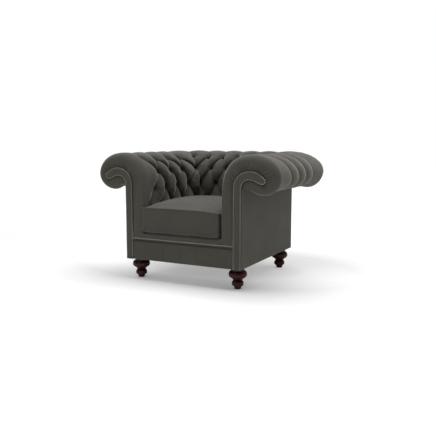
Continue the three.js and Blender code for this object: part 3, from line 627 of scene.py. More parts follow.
def rounding_corner(run, out, straight_run):
    """How far out and how far on a run has come, if it turns a corner past its straight part."""
    turn = np.maximum(run - straight_run, 0) / np.maximum(out, 1e-9) * (out > 0)
    turned = turn > 0
    return (
        np.where(turned, out * np.cos(turn), out),
        np.where(turned, straight_run + out * np.sin(turn), run),
    )


def arm_place(side, distance, out):
    """Plan place of a distance along an arm. Past the panel's plane it turns round the corner."""
    outward, along = rounding_corner(distance, out, back_y)
    return side * (half_width + outward), along


def back_place(distance, out):
    """Plan place of a distance along the back from its middle, turning at both corners."""
    outward, along = rounding_corner(np.abs(distance), out, half_width)
    return np.sign(distance) * along, back_y + outward


def rows_climbed(along):
    """Half the rows climbed from the second row, held at the lowest and the top row."""
    share = (along - row_along) / (rows_above * row_pitch)
    return np.clip(share, -rows_below / rows_above, 1)


def column_pitch(along, pitches):
    """The distance between columns: low, in the two upper rows and on the roll, with the distance
    along the crest at which the last is reached."""
    low, upper, roll, reached = pitches
    rising = mix(low, upper, smoothstep(along, row_along, mid_row_along))
    return mix(rising, roll, smoothstep(along, top_row_along, reached))


def arm_first(along):
    """Where an arm's first column of buttons is. It leans forwards up to the top row, and its
    pleat drifts backwards over the roll."""
    lean = arm_lean * smoothstep(along, row_along + arm_lean_ease, top_row_along)
    lean *= 1 - arm_lean_lost * smoothstep(along, top_row_along, roll_top_along + arm_lean_ease)
    return arm_first_run - lean + arm_drift * smoothstep(along, top_row_along, roll_under_along)


# An arm's padding is one wall, and the back's is one that is mirrored at its middle. first says
# where the first counted column is, and place turns distances along the wall and out into x and y.
Wall = namedtuple("Wall", "mirrored straight_run pitches first_column first last_column seed place")


def count_columns(wall, distance, along):
    """Counts columns from the first. From the last one to the mitre the count stretches, so that
    the mitre holds a button half a column on up to the middle row, and a whole one at the top."""
    run = np.abs(distance) if wall.mirrored else distance
    first = wall.first(along)
    pitch = column_pitch(along, wall.pitches)
    last = first + wall.last_column * pitch
    limit = mitre_run(wall.straight_run, crest_at(along)[0])
    extra = 0.5 + 0.5 * np.clip(2 * rows_climbed(along) - 1, 0, 1)
    beyond = wall.last_column + extra * (run - last) / (limit - last)
    counted = np.where(run > last, beyond, (run - first) / pitch)
    return np.sign(distance) * counted if wall.mirrored else counted


def rounded_wave(turns):
    """The size of a sine that is 0 at each whole number of turns, with its points rounded."""
    wave = np.sqrt(np.sin(np.pi * turns) ** 2 + pleat_rounding**2) - pleat_rounding
    return wave / (math.sqrt(1 + pleat_rounding**2) - pleat_rounding)


def pillow_height(column, along, first_pleat):
    """0 in a pleat to 1 on a crown: the product of two waves over a rising and a falling count of
    columns, which run straight outside the rows, raised to a power that makes full pillows."""
    climb = rows_climbed(along)
    left, right = (
        np.where(count < first_pleat + half, 1, rounded_wave(count))
        for count, half in ((column + climb, 0.5), (column - climb, -0.5))
    )
    return (left * right) ** pillow_power


def nearest_button(column, along, pitch, first_column):
    """Distances across and up to the nearest button, and a number that tells buttons apart."""
    found = []
    for row in range(-rows_below, rows_above + 1):
        shift = (row % 2) / 2
        whole = np.maximum(np.round(column - shift), first_column - (row < 0))
        found.append(np.broadcast_arrays(
            (column - shift - whole) * pitch, along - row_along - row * row_pitch,
            whole * button_codes[0] + row * button_codes[1],
        ))
    across, rise, code = (np.stack(values) for values in zip(*found))
    pick = np.argmin(np.hypot(across, rise), axis=0)[None]
    return (np.take_along_axis(values, pick, 0)[0] for values in (across, rise, code))


def corner_depth(along, to_mitre):
    """How much the padding sinks near a mitre: less where a pillow fills the corner under the
    middle row and where the roll hangs, and more where the roll tapers to its corner."""
    near = np.clip(1 - to_mitre / corner_fill_reach, 0, 1) ** 2
    filled = corner_fill * rise_and_fall(along, *corner_pillow) * near
    under = smoothstep(along, roll_widest_along, roll_under_along)
    hanging = corner_drop * under * rise_and_fall(to_mitre, *corner_drop_reaches)
    turn = np.interp(along, (roll_top_along, roll_widest_along, roll_under_along), (0, 1, 2))
    tapered = mix(taper_at_ends, 1, np.sin(np.pi * turn) ** 2) * smoothstep(turn, 0, taper_ease)
    tapered = corner_taper * tapered * (1 - smoothstep(to_mitre, *corner_taper_reach))
    return tapered - filled - hanging


def buttoned_section(wall, distance, along, to_mitre, from_seam):
    """The padding's surface as (out, up) and its crown value, painted shade that darkens the pleats
    and the hollows round the buttons. It sinks below the crest in the pleats and at the buttons,
    where small folds fan out, and its pillows hang lower than they are tied."""
    column = count_columns(wall, distance, along)
    across, rise, code = nearest_button(
        column, along, column_pitch(along, wall.pitches), wall.first_column,
    )
    to_button = np.hypot(across, rise)
    height = pillow_height(column, along, wall.first_column)
    tuck = smoothstep(along, *tucking_in)
    over_roll = smoothstep(along, *past_rows)
    flatter = smoothstep(along, *flattening)
    depth = (1 - height) * mix(pleat_depth, roll_pleat_depth, flatter)
    depth = depth + mix(button_depth, top_button_depth, flatter) * bell(to_button, button_reach)
    fan = 1 + np.cos(pinch_folds * np.arctan2(rise, across) + code)
    near = bell(to_button, pinch_reach) * (1 - bell(to_button, pinch_clear))
    depth += pinch_depth * (1 - over_roll) * near * fan
    run = column * wall.pitches[0]
    wide, fine = (
        ripple(run, along, length, wall.seed + step) for step, length in enumerate(uneven_lengths)
    )
    calmer = (1 - roll_calm * over_roll) * smoothstep(from_seam, 0, seam_calm_reach)
    depth += pad_unevenness * (1 + wide + fine_share * fine) * calmer
    depth += corner_depth(along, to_mitre)
    below = 1 - smoothstep(along, *recess_end)
    depth += lower_recess * below * smoothstep(from_seam, 0, recess_reach)
    depth *= 1 - tuck
    sag = pillow_sag * smoothstep(from_seam, 0, seam_sag_reach) * rise_and_fall(along, *sagging)
    out, up, facing_out, facing_up = crest_at(along - sag * height**2)
    # Painted shade: darker down the pleats, less so over the roll and the tuck, and darker round
    # each button.
    lit = mix(least_crown, 1, np.maximum(over_roll, tuck))
    crown = mix(smoothstep(height, 0, pleat_shade_height), 1, lit)
    crown = crown * (1 - button_shade * bell(to_button, button_shade_reach) * (1 - over_roll))
    return out - depth * facing_out, up - depth * facing_up, crown


def wall_ends(wall, out):
    """The distances at which a wall starts and ends."""
    limit = mitre_run(wall.straight_run, out)
    return -limit if wall.mirrored else seam_y + 0 * out, limit


def padding_mesh(name, wall):
    """A closed pad: at even steps from start to limit, one section that runs up and over the crest
    and returns along the backing. Each step's own run is stretched so that the ends stay on the
    mitre where the section has sunk."""
    along = np.r_[np.arange(0, crest_length, crest_step), crest_length][None, :]
    backing = np.linspace(crest_length, 0, backing_steps)[None, :]
    start, limit = wall_ends(wall, roll_overhang)
    share = np.linspace(0, 1, int((limit - start) / pad_step))[:, None]
    start, limit = wall_ends(wall, crest_at(along)[0])
    distance = mix(start, limit, share)
    from_start, to_mitre = distance - start, limit - distance
    if wall.mirrored:
        to_mitre = np.minimum(to_mitre, from_start)
    from_seam = np.ones_like(distance) if wall.mirrored else from_start
    shown_out, shown_up, crown = buttoned_section(wall, distance, along, to_mitre, from_seam)

    def with_backing(shown, hidden):
        """The section's shown values, and then those of its backing."""
        return np.concatenate([shown, np.broadcast_to(hidden, (share.size, backing.size))], 1)

    out, up, facing_out, facing_up = crest_at(backing)
    thick = padding_thickness(backing)
    section_out = with_backing(shown_out, out - thick * facing_out)
    section_up = with_backing(shown_up, up - thick * facing_up)
    x, y = wall.place(mix(*wall_ends(wall, section_out), share), section_out)
    labels = with_backing(np.broadcast_to(along, distance.shape), backing)
    weave = spread(with_backing(distance, distance[:, -1:]), labels)
    points = spread(x, y, section_up)
    return make_piece(name, points, closed_faces(*x.shape), weave, with_backing(crown, 1))


# The back's columns go on to both sides of its middle one, so that none comes before a first.
no_first_column = -9
walls = {
    "arm_" + word: Wall(
        mirrored=False, straight_run=back_y, pitches=arm_pitches, first_column=0, first=arm_first,
        last_column=3, seed=40 + side,
        place=lambda distance, out, side=side: arm_place(side, distance, out),
    ) for word, side in both_sides
}
walls["back"] = Wall(
    mirrored=True, straight_run=half_width, pitches=back_pitches, first_column=no_first_column,
    first=lambda along: 0, last_column=2, seed=50, place=back_place,
)
pad_nodes = {"arm_left": "arm_pad_left", "arm_right": "arm_pad_right", "back": "back_pad"}
for word, wall in walls.items():
    pad = padding_mesh("buttoned_" + word, wall)
    dress(pad, cloth, "chair", "cloth", pad_nodes[word])


# The buttons: cloth-covered domes drawn deep between the pillows by twine, four staggered rows on
# each arm and on the back, with one in each corner's mitre on the middle and the top row.
button_shape_size = (0.0115, 0.0065, 5, 18)
button_sink = 0.004
# Painted shade: the buttons' colour is mixed partway to the near-black of the pleats' painted
# shade.
button_painted_shade = 0.6


def dome(radius, height, rings, sides):
    """A closed dome: an ellipse's quarter turned round its axis, with a flat underside. Returns
    points, with the dome's axis along +Z and its rim at 0, and faces."""
    turn = np.linspace(0, np.pi / 2, rings + 1)[:-1, None]
    spin = np.linspace(0, 2 * np.pi, sides, endpoint=False)
    rim = radius * np.cos(turn)
    ring = spread(rim * np.cos(spin), rim * np.sin(spin), height * np.sin(turn)).reshape(-1, 3)
    last = (rings - 1) * sides
    faces = grid_faces(rings, sides, wrapped=True) + [list(range(sides))[::-1]]
    faces += [[last + i, last + (i + 1) % sides, rings * sides] for i in range(sides)]
    return np.concatenate([ring, [[0, 0, height]]]), faces


def repeated(name, shape, places, facings, crown=1.0):
    """Copies of one shape in one mesh, each turned so that its axis lies along its facing."""
    points, faces = shape
    places, facings = np.broadcast_arrays(np.asarray(places, float), np.asarray(facings, float))
    facings = facings / np.linalg.norm(facings, axis=1, keepdims=True)
    helper = np.where(np.abs(facings[:, 2:]) < 0.9, [[0, 0, 1.0]], [[1.0, 0, 0]])
    right = np.cross(helper, facings)
    right /= np.linalg.norm(right, axis=1, keepdims=True)
    turns = np.stack([right, np.cross(facings, right), facings], 1)
    placed = np.einsum("pk,nkj->npj", points, turns) + places[:, None]
    copies = [
        [corner + index * len(points) for corner in face]
        for index in range(len(placed)) for face in faces
    ]
    weave = np.tile(points[:, :2], (len(placed), 1))
    return make_piece(name, placed, copies, weave, np.full(len(weave), crown))


def button_seats(wall):
    """Seats for a wall's buttons and the ways that they face, from the padding's section at each
    one's row and run. A button with no column lies in an arm's mitre and faces along it."""
    spots = [
        (column + (row % 2) / 2, row) for row in range(-rows_below, rows_above + 1)
        for column in range(-wall.last_column * wall.mirrored, wall.last_column + 1 - (row % 2))
    ]
    if not wall.mirrored:
        spots += [(None, 1), (None, rows_above)]
    hair = 0.001
    seats, facings = [], []
    for column, row in spots:
        along = np.array([[row_along + row * row_pitch]])
        crest_out, _, facing_out, facing_up = crest_at(along)
        limit = mitre_run(wall.straight_run, crest_out)
        in_mitre = column is None
        run = limit if in_mitre else wall.first(along) + column * column_pitch(along, wall.pitches)
        out, up, _ = buttoned_section(wall, run, along, limit - np.abs(run), np.ones((1, 1)))
        held = mitre_run(wall.straight_run, out) if in_mitre else run
        here, ahead = (np.ravel(wall.place(held, reach)) for reach in (out, out + hair))
        outward = np.sign(here) / 2 if in_mitre else (ahead - here) / hair
        facing = np.r_[outward * facing_out.item(), facing_up.item()]
        facing /= np.linalg.norm(facing)
        seats.append(np.r_[here, up.item()] - button_sink * facing)
        facings.append(facing)
    return seats, facings


for word, wall in walls.items():
    name = "buttons_" + word
    buttons = repeated(name, dome(*button_shape_size), *button_seats(wall), button_painted_shade)
    dress(buttons, cloth, "chair", "cloth")


# The facing of each arm: a hooked board padded thinly and covered, nailed over the raw edges of
# the gathered border. Its outline is five curves between shares of the hook's width and rise.
facing_width = half_width - facing_low.x
hook_start_height = 0.575
hook_rise = 0.102
hook_reach = 0.147
hook_steps = 41
facing_rows, facing_columns = 150, 17
facing_straight_share = 0.55
facing_tip_reach = 0.002
facing_edge_shade = (0.5, 2.2)
facing_puff = 0.0025
facing_edge = 0.003
facing_edge_painted_shade = 0.2
facing_unevenness, facing_uneven_length, facing_seed = 0.0003, 0.05, 3
hook_curve_shares = [
    [0, 0.64, 0.24, 1, 0.54, 1],
    [0.73, 1, 0.89, 0.76, 0.985, 0.58],
    [1.02, 0.44, 0.95, 0.28, 0.86, 0.295],
    [0.73, 0.36, 0.63, 0.52, 0.485, 0.52],
    [0.345, 0.52, 0.242, 0.295, 0.242, 0],
]


def hook_outline():
    """The facing's outline as (out, up): its inner edge up to the hook's tip, and its outer edge
    from the tip down, each from the bottom to the middle of the tip's curve."""
    size = np.array([facing_width + hook_reach, hook_rise])
    corner = np.array([-facing_width, hook_start_height])
    here = np.zeros(2)
    curves = []
    for guide_a, guide_b, end in np.reshape(hook_curve_shares, (5, 3, 2)):
        curves.append(corner + size * bezier(here, guide_a, guide_b, end, hook_steps))
        here = end
    tip = hook_steps // 2 + 1
    inner = [[[-facing_width, body_bottom]], curves[0], curves[1][1:], curves[2][1:tip]]
    outer = [
        [[0, body_bottom], [0, hook_start_height]], curves[4][::-1], curves[3][::-1][1:],
        curves[2][::-1][1:tip],
    ]
    return np.concatenate(inner), np.concatenate(outer)


def at_shares(path, shares):
    """The points at shares of a path's length."""
    along = lengths_along(path)
    wanted = shares * along[-1]
    return np.stack([np.interp(wanted, along, values) for values in path.T], -1)


def evenly(path, count):
    """A path's points moved to even distances along it."""
    return at_shares(path, np.linspace(0, 1, count))


inner_edge, outer_edge = hook_outline()


def facing_mesh(name, side):
    """A padded board: rows run from the inner edge across to the outer one, and columns up to the
    tip. Its face swells between rounded edges, and a flat back closes it."""
    half = int(facing_rows * facing_straight_share)
    rise = np.linspace(0, hook_start_height - body_bottom, half)[:-1, None] * [0, 1]
    inner, outer = (
        np.concatenate([edge[0] + rise, evenly(edge[1:], facing_rows - half)])
        for edge in (inner_edge, outer_edge)
    )
    share = (1 - np.cos(np.linspace(0, np.pi, facing_columns))) / 2
    flat = mix(inner[:, None], outer[:, None], share[None, :, None])
    width = np.hypot(*(outer - inner).T)[:, None]
    from_tip = lengths_along((inner + outer)[::-1] / 2)[::-1, None]
    to_edge = np.minimum(np.minimum(share, 1 - share) * width, from_tip + facing_tip_reach)
    edge = np.clip(to_edge / facing_edge, 0, 1)
    rounding = facing_edge * (1 - np.sqrt(1 - (1 - edge) ** 2))
    swell = facing_puff * np.sqrt(np.clip(4 * share * (1 - share), 0, 1))
    swell = swell * np.minimum(width / facing_width, 1)
    out, up = flat[..., 0], flat[..., 1]
    face_y = front_y + rounding - swell
    face_y += facing_unevenness * ripple(out, up, facing_uneven_length, facing_seed)
    face, rear = (spread(side * (half_width + out), y, up) for y in (face_y, facing_back))
    # Painted shade: the colour darkens towards the facing's edges, round its nails.
    crown = mix(facing_edge_painted_shade, 1, smoothstep(to_edge / facing_edge, *facing_edge_shade))
    loop, weave, crown = (
        np.concatenate([front, back[:, ::-1]], 1)
        for front, back in ((face, rear), (flat, flat), (crown, crown))
    )
    return make_piece(name, loop, closed_faces(*loop.shape[:2]), weave, crown)


for word, side in both_sides:
    facing = facing_mesh("facing_" + word, side)
    dress(facing, cloth, "chair", "cloth", "arm_facing_" + word)


# The gathered border: the arm's cloth drawn over the front of the roll and gathered under the
# facing, so that fine folds fan out from its nails and fade before the rounded rim.
border_front = border_low.y
border_steps = (150, 200, 130)
face_steps, round_steps, side_steps = 46, 12, 9
face_step_power = 0.8
border_thickness = 0.004
border_roundings = (0.014, 0.042)
border_round_depths = (0.014, 0.050)
border_head_reach = (0.2, 0.42)
border_flare = 0.012
border_tuck = 0.010
border_hollow, hollow_reach = 0.004, 0.012
border_swell, full_swell_length = 0.005, 0.06
border_foot_swell, foot_swell_reach = 0.002, 0.06
gather_pitch, gather_drift, gather_sharpness = 0.0125, 0.9, 1.2
gather_ripples = ((0.06, 5), (0.045, 6), (0.02, 7))
gather_depth, gather_shade = 0.0036, 0.7
gather_runs, gather_full_share = (0.030, 0.095), 0.1
gather_start, gather_lengthening = (0.13, 0.26), (0.24, 0.36)
strength_range, length_range = (0.65, 0.35), (0.75, 0.25)
under_calm = 0.7


def border_mesh(name, side):
    """A sheet from under the facing to the seam with the padding. Each line across it runs from a
    point of the facing's edge to the matching point of the crest, set in by the rounding, turns
    back by a quarter of an ellipse and follows the arm to the seam."""
    straight, hook, under = border_steps
    tip_along = (roll_widest_along + roll_under_along) / 2
    hook_along = hook_start_height - pad_bottom
    inner = np.concatenate([
        np.linspace([-facing_width, pad_bottom], inner_edge[1], straight),
        evenly(inner_edge[1:], hook)[1:],
        evenly(outer_edge[1:], under)[::-1][1:],
    ])
    along = np.concatenate([
        np.linspace(0, hook_along, straight), np.linspace(hook_along, tip_along, hook)[1:],
        np.linspace(tip_along, crest_length, under)[1:],
    ])
    out, up, facing_out, facing_up = crest_at(along)
    outward = spread(facing_out, facing_up)[:, None]
    tuck = smoothstep(along, roll_under_along, crest_length)
    to_head = smoothstep(along, *border_head_reach)
    set_in = (mix(*border_roundings, to_head) * (1 - tuck))[:, None]
    round_depth = mix(*border_round_depths, to_head)[:, None]
    flare = (border_flare * smoothstep(along, roll_top_along, tip_along) * (1 - tuck))[:, None]
    crest = spread(out, up)[:, None] + flare[..., None] * outward
    rim = crest - set_in[..., None] * outward
    reach = rim - inner[:, None]
    length = np.maximum(np.linalg.norm(reach, axis=-1), 1e-6)
    share = np.linspace(-border_tuck, 1, face_steps)
    run = np.where(share < 0, share / length, np.abs(share) ** face_step_power)
    inner_along = lengths_along(inner)
    from_edge = np.clip(run, 0, 1) * length

    drift, varied, longer = (ripple(inner_along, 0, *settings) for settings in gather_ripples)
    folds = inner_along / gather_pitch + gather_drift * drift
    fold = (1 - np.abs(np.sin(np.pi * folds))) ** gather_sharpness
    strength = smoothstep(inner_along, *gather_start) * (1 - under_calm * tuck)
    strength *= strength_range[0] + strength_range[1] * varied
    longer = length_range[0] + length_range[1] * longer
    longer *= smoothstep(inner_along, *gather_lengthening)
    longest = mix(*gather_runs, longer)[:, None]
    fading = smoothstep(from_edge, gather_full_share * longest, longest)
    gathers = (fold * strength)[:, None] * (1 - fading)
    belly = np.sin(np.pi * np.clip(run, 0, 1) ** face_step_power) ** face_step_power
    belly *= np.minimum(length / full_swell_length, 1)
    hollow = border_hollow * np.exp(-from_edge / hollow_reach)
    forward = border_foot_swell * (1 - smoothstep(along, 0, foot_swell_reach))[:, None]
    face = inner[:, None] + reach * run[..., None]
    face_y = border_front - border_swell * belly + hollow + gather_depth * gathers - forward

    turn = np.linspace(0, np.pi / 2, round_steps)[1:]
    round_flat = rim + (set_in * np.sin(turn))[..., None] * outward
    round_y = border_front - forward + (round_depth + forward) * (1 - np.cos(turn))
    side_share = np.r_[np.linspace(0, 1, side_steps)[1:], 1]
    side_y = mix(border_front + round_depth, seam_y, side_share)
    sunk = smoothstep(side_share, 0, 1) * flare
    sunk[:, -1] += border_thickness
    side_flat = crest - sunk[..., None] * outward

    flat = np.concatenate([face, round_flat, side_flat], 1)
    y = np.concatenate([face_y, round_y, side_y], 1)
    points = spread(side * (half_width + flat[..., 0]), y, flat[..., 1])
    travel = np.cumsum(np.linalg.norm(np.diff(points, axis=1), axis=2), axis=1)
    travel = np.concatenate([np.zeros((along.size, 1)), travel], 1)
    crown = np.ones(y.shape)
    # Painted shade: the colour darkens in the gathers' folds.
    crown[:, :share.size] -= gather_shade * gathers
    weave = spread(inner_along[:, None], travel)
    faces = [corners[::-side] for corners in grid_faces(*y.shape)]
    return make_piece(name, points, faces, weave, crown, closed=False)


for word, side in both_sides:
    border = border_mesh("gathered_border_" + word, side)
    dress(border, cloth, "chair", "cloth", "arm_border_" + word)
    hem = border.modifiers.new("hem", "SOLIDIFY")
    hem.thickness = border_thickness
    hem.offset = -1


# The nails: domed heads in dull pewter, driven close together round each facing and along the
# front rail.
nail_pitch = 0.014
nail_shape_size = (0.0038, 0.0034, 4, 10)
nail_margin = 0.003
nail_sink, front_nail_lift = 0.0004, 0.0012
front_nail_height = 0.2565
front_nail_margin = 0.002
front_reach = half_width - facing_width
straight_points, outline_points = 60, 600
pewter_tones = linear(222, 217, 203), linear(118, 112, 101)
pewter_grain, pewter_relief = (95.0, 4.0), (0.0002, 1.0)
pewter = grained(
    "pewter nails", pewter_tones, pewter_grain, pewter_relief, Roughness=0.42, Metallic=0.85,
)


def nail_row(name, path, side, depth, node):
    """Nails at even places along a path of (out, up), half a pitch from its ends."""
    count = int(round(lengths_along(path)[-1] / nail_pitch))
    out, up = at_shares(path, (np.arange(count) + 0.5) / count).T
    places = spread(side * out, front_y + depth, up)
    nails = repeated(name, dome(*nail_shape_size), places, (0, -1, 0))
    dress(nails, pewter, "chair", "nail", node)


facing_outline = evenly(np.concatenate([
    np.linspace(*inner_edge[:2], straight_points), inner_edge[2:],
    outer_edge[::-1][1:-1], np.linspace(*outer_edge[1::-1], straight_points)[1:],
]), outline_points)
slope = np.gradient(facing_outline, axis=0)
slope /= np.maximum(np.hypot(*slope.T)[:, None], 1e-9)
nail_line = facing_outline + nail_margin * slope[:, ::-1] * [1, -1] + [half_width, 0]
for word, side in both_sides:
    nail_row("facing_nails_" + word, nail_line, side, nail_sink, "arm_nail_trim_" + word)
front_end = front_reach - front_nail_margin
front_line = np.array([[-front_end, front_nail_height], [front_end, front_nail_height]])
nail_row("front_nails", front_line, 1, -front_nail_lift, "front_nail_trim")


# The front of the seat: a thinly padded lip turned over the rail, whose nailed lower edge stands
# proud of a plain panel drawn down and under the rail.
lip_low, lip_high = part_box("front_lip_pad")
rail_low, rail_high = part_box("front_rail_cover")
lip_radii = (0.0015, 0.016)
lip_round_reach = (0.250, 0.262)
lip_foot_radius = 0.003
lip_swell = 0.0028
panel_radii = (0.002, 0.004)
front_panel_swell = 0.0012
crease_places = (-0.122, -0.005, 0.101)
crease_width, crease_depth, crease_shade = 0.0035, 0.0020, 0.2
crease_sway, crease_wave, crease_stagger = 0.002, 60, 40
band_unevenness, band_uneven_length = 0.0005, 0.09
band_front_reach = 0.012
band_step, band_turns, band_rises = 0.0025, 9, 12
seam_painted_shade, seam_shade_reach = 0.3, (0.001, 0.007)


def band(name, low, high, top_radius, foot_radius, swell, seed, creases=()):
    """A padded band carried along X: up its front, over a top edge rounded by a radius for each x,
    and down a flat back. Its front swells, with soft unevenness, and sinks at upright creases,
    which painted shade darkens, as it does along the seam between the lip and the panel."""
    count = int(2 * front_reach / band_step)
    x = np.linspace(-front_reach, front_reach, count)[:, None]
    turn = np.linspace(0, np.pi / 2, band_turns)
    top = top_radius(x)
    rise = np.linspace(0, 1, band_rises + 2)[1:-1]
    foot_z = low.z + foot_radius
    y, z = (
        np.concatenate([np.broadcast_to(part, (count, np.shape(part)[-1])) for part in parts], 1)
        for parts in (
            (low.y + foot_radius * (1 - np.sin(turn)), np.full(band_rises, low.y),
             low.y + top * (1 - np.cos(turn)), [high.y, high.y]),
            (low.z + foot_radius * (1 - np.cos(turn)), mix(foot_z, high.z - top, rise),
             high.z - top * (1 - np.sin(turn)), [high.z, low.z]),
        )
    )
    front = np.clip((low.y + band_front_reach - y) / band_front_reach, 0, 1)
    middle = np.sin(np.pi * np.clip((z - low.z) / (high.z - low.z), 0, 1))
    shift = band_unevenness * ripple(x, z, band_uneven_length, seed) - swell(x) * middle
    crown = np.ones_like(shift)
    for place in creases:
        sway = crease_sway * np.sin(z * crease_wave + place * crease_stagger)
        crease = bell(x - place - sway, crease_width) * middle
        shift = shift + crease_depth * crease
        # Painted shade in each crease.
        crown = crown - crease_shade * crease
    # Painted shade along the seam where the lip's edge stands over the panel.
    crown = crown * mix(seam_painted_shade, 1, smoothstep(np.abs(z - rail_high.z), *seam_shade_reach))
    points = spread(x, y + shift * front, z)
    return make_piece(name, points, closed_faces(*y.shape), spread(x, z - y), crown)


def over_seat(x):
    """1 in front of the cushion, easing to 0 in front of the arms."""
    return 1 - smoothstep(np.abs(x), *lip_round_reach)


lip = band(
    "front_lip", lip_low, lip_high, lambda x: mix(*lip_radii, over_seat(x)), lip_foot_radius,
    lambda x: lip_swell * over_seat(x), 61,
)
dress(lip, cloth, "chair", "cloth", "front_lip_pad")
front_panel = band(
    "front_panel", rail_low, rail_high, lambda x: panel_radii[0] + 0 * x, panel_radii[1],
    lambda x: front_panel_swell, 62, crease_places,
)
dress(front_panel, cloth, "chair", "cloth", "front_rail_cover")


# The seat deck: hessian and a thin pad over the springs, covered with the same cloth as the chair.
deck_low, deck_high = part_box("seat_deck")
deck_crown = 0.002
deck_steps = 60


def deck_mesh(name):
    """A flat block whose top rises a little in the middle, drawn down at its edges."""
    share = np.linspace(0, 1, deck_steps)
    x = mix(deck_low.x, deck_high.x, share)[:, None]
    y = mix(deck_low.y, deck_high.y, share)[None, :]
    swell = np.sin(np.pi * share[:, None]) ** 0.5 * np.sin(np.pi * share) ** 0.5
    top = spread(x, y, deck_high.z - deck_crown * (1 - swell))
    return sheet_pair(name, top, spread(x, y, deck_low.z))


dress(deck_mesh("seat_deck_cover"), cloth, "chair", "cloth", "seat_deck")


# The loose seat cushion: a boxed cover with welted edges over foam wrapped in wadding. The cover is
# pinned at its two seams and blown up between them by a cloth simulation.
cushion_low, cushion_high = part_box("seat_cushion")
cushion_middle = (cushion_low + cushion_high) / 2
cushion_half = (cushion_high - cushion_low) / 2
cushion_border = 0.153
cushion_corner = 0.006
cushion_foot, foot_power = 0.007, 12
cushion_lift = 0.0005
cushion_lower_seam = 0.022
cushion_start_crown = 0.034
crown_powers, cushion_side_power = ((6, 0.42), (2.4, 0.6)), 3
cushion_bow, cushion_bow_reach = (0.003, 0.011), 0.14
cushion_side_painted_shade, side_shade_drop = 0.4, 0.003
side_shade_reach, front_shade_reach = (0.97, 0.985), (0.006, 0.016)
cushion_shrink = 0.002
cushion_step = 0.0075
cushion_cloth = {
    "quality": 6, "mass": 0.35, "tension_stiffness": 22, "compression_stiffness": 12,
    "shear_stiffness": 8, "bending_stiffness": 1.2, "use_pressure": True,
    "uniform_pressure_force": 4.0, "vertex_group_mass": "seams",
}
cushion_frames = 20
cushion_cap = 0.024
cushion_room = ((-0.0005, -0.006, 0.0003), (0.0005, 0.002, 0.010))
cushion_nose, nose_reach = 0.004, (0.016, 0.034)
cushion_flare, flare_reach, flare_rise = 0.017, (0.0067, 0.0137), (0.004, 0.022)
cushion_side_clear, clear_reach = 0.009, (0.06, 0.14)
welt_radius, welt_sides = 0.0032, 10


def round_corners(x, y, half_x, half_y, radius):
    """Draws the corners of nested rectangles in: past the corner's centre, a point keeps its
    larger offset but lies on a circle of that radius."""
    dx = np.abs(x) - (half_x - radius)
    dy = np.abs(y) - (half_y - radius)
    inside = (dx > 0) & (dy > 0)
    scale = np.maximum(dx, dy) / np.maximum(np.hypot(dx, dy), 1e-9)
    return (
        np.where(inside, np.sign(x) * (half_x - radius + dx * scale), x),
        np.where(inside, np.sign(y) * (half_y - radius + dy * scale), y),
    )


def cushion_mesh(name):
    """A closed boxed cover as six joined grids: top and bottom sheets, and four sides between their
    rims. The top rises in a crown that falls to the seam by a power of the distance from the
    middle each way. Returns the piece, the numbers of its pinned points and its two seams."""
    half_x, half_y = cushion_half.x - cushion_shrink, cushion_half.y - cushion_shrink
    nx, ny, nz = (int(size / cushion_step) for size in (2 * half_x, 2 * half_y, cushion_border))
    x, y = np.meshgrid(np.linspace(-1, 1, nx), np.linspace(-1, 1, ny), indexing="ij")
    px, py = round_corners(x * half_x, y * half_y, half_x, half_y, cushion_corner)
    (sharp_x, full_x), (sharp_y, full_y) = crown_powers
    crown = (1 - np.abs(x) ** sharp_x) ** full_x * (1 - np.abs(y) ** sharp_y) ** full_y
    near_front = 1 - smoothstep((1 + y) * half_y, 0, cushion_bow_reach)
    bow = np.where(x < 0, *cushion_bow) * np.abs(x) ** cushion_side_power * near_front
    top_z = cushion_low.z + cushion_border + cushion_start_crown * crown - bow
    drawn_up = 1 - ((1 - np.abs(x) ** foot_power) * (1 - np.abs(y) ** foot_power)) ** 0.5
    bottom_z = cushion_low.z + cushion_lift + cushion_foot * drawn_up
    top, bottom = (spread(px, py, z).reshape(-1, 3) for z in (top_z, bottom_z))
    rim = grid_rim(nx, ny)
    levels = np.linspace(0, 1, nz + 1)[1:-1]
    drop = (cushion_border - cushion_lower_seam) / (cushion_border - cushion_foot)
    seam_row = int(round(drop * nz)) - 1
    sides = mix(top[rim], bottom[rim], levels[:, None, None]).reshape(-1, 3)
    count = nx * ny
    ring = 2 * count + np.arange(levels.size * rim.size).reshape(levels.size, rim.size)
    rings = np.concatenate([rim[None], ring, (rim + count)[None]])
    after = np.roll(rings, -1, 1)
    side_faces = np.stack([rings[:-1], after[:-1], after[1:], rings[1:]], -1).reshape(-1, 4)
    faces = grid_faces(nx, ny) + [face[::-1] for face in grid_faces(nx, ny, start=count)]
    faces += side_faces[:, ::-1].tolist()
    points = np.concatenate([top, bottom, sides]) + [cushion_middle.x, cushion_middle.y, 0]
    flat = spread(px, py).reshape(-1, 2)
    side_weave = spread(lengths_along(top[rim][:, :2]), levels[:, None] * cushion_border)
    weave = np.concatenate([flat, flat, side_weave.reshape(-1, 2)])
    # Painted shade: the cover's sides, below the top and behind the front edge, darken by the arms.
    shaded = smoothstep(np.abs(points[:, 0]) / cushion_half.x, *side_shade_reach)
    shaded *= smoothstep(points[:, 1] - cushion_low.y, *front_shade_reach)
    shaded *= points[:, 2] < top_z.min() - side_shade_drop
    piece = make_piece(name, points, faces, weave, mix(1, cushion_side_painted_shade, shaded))
    pinned = np.r_[rim, rim + count, ring[seam_row]]
    return piece, pinned, (points[rim], points[ring[seam_row]])


def mesh_points(mesh):
    """A mesh's points as one array."""
    values = np.empty(len(mesh.vertices) * 3)
    mesh.vertices.foreach_get("co", values)
    return values.reshape(-1, 3)


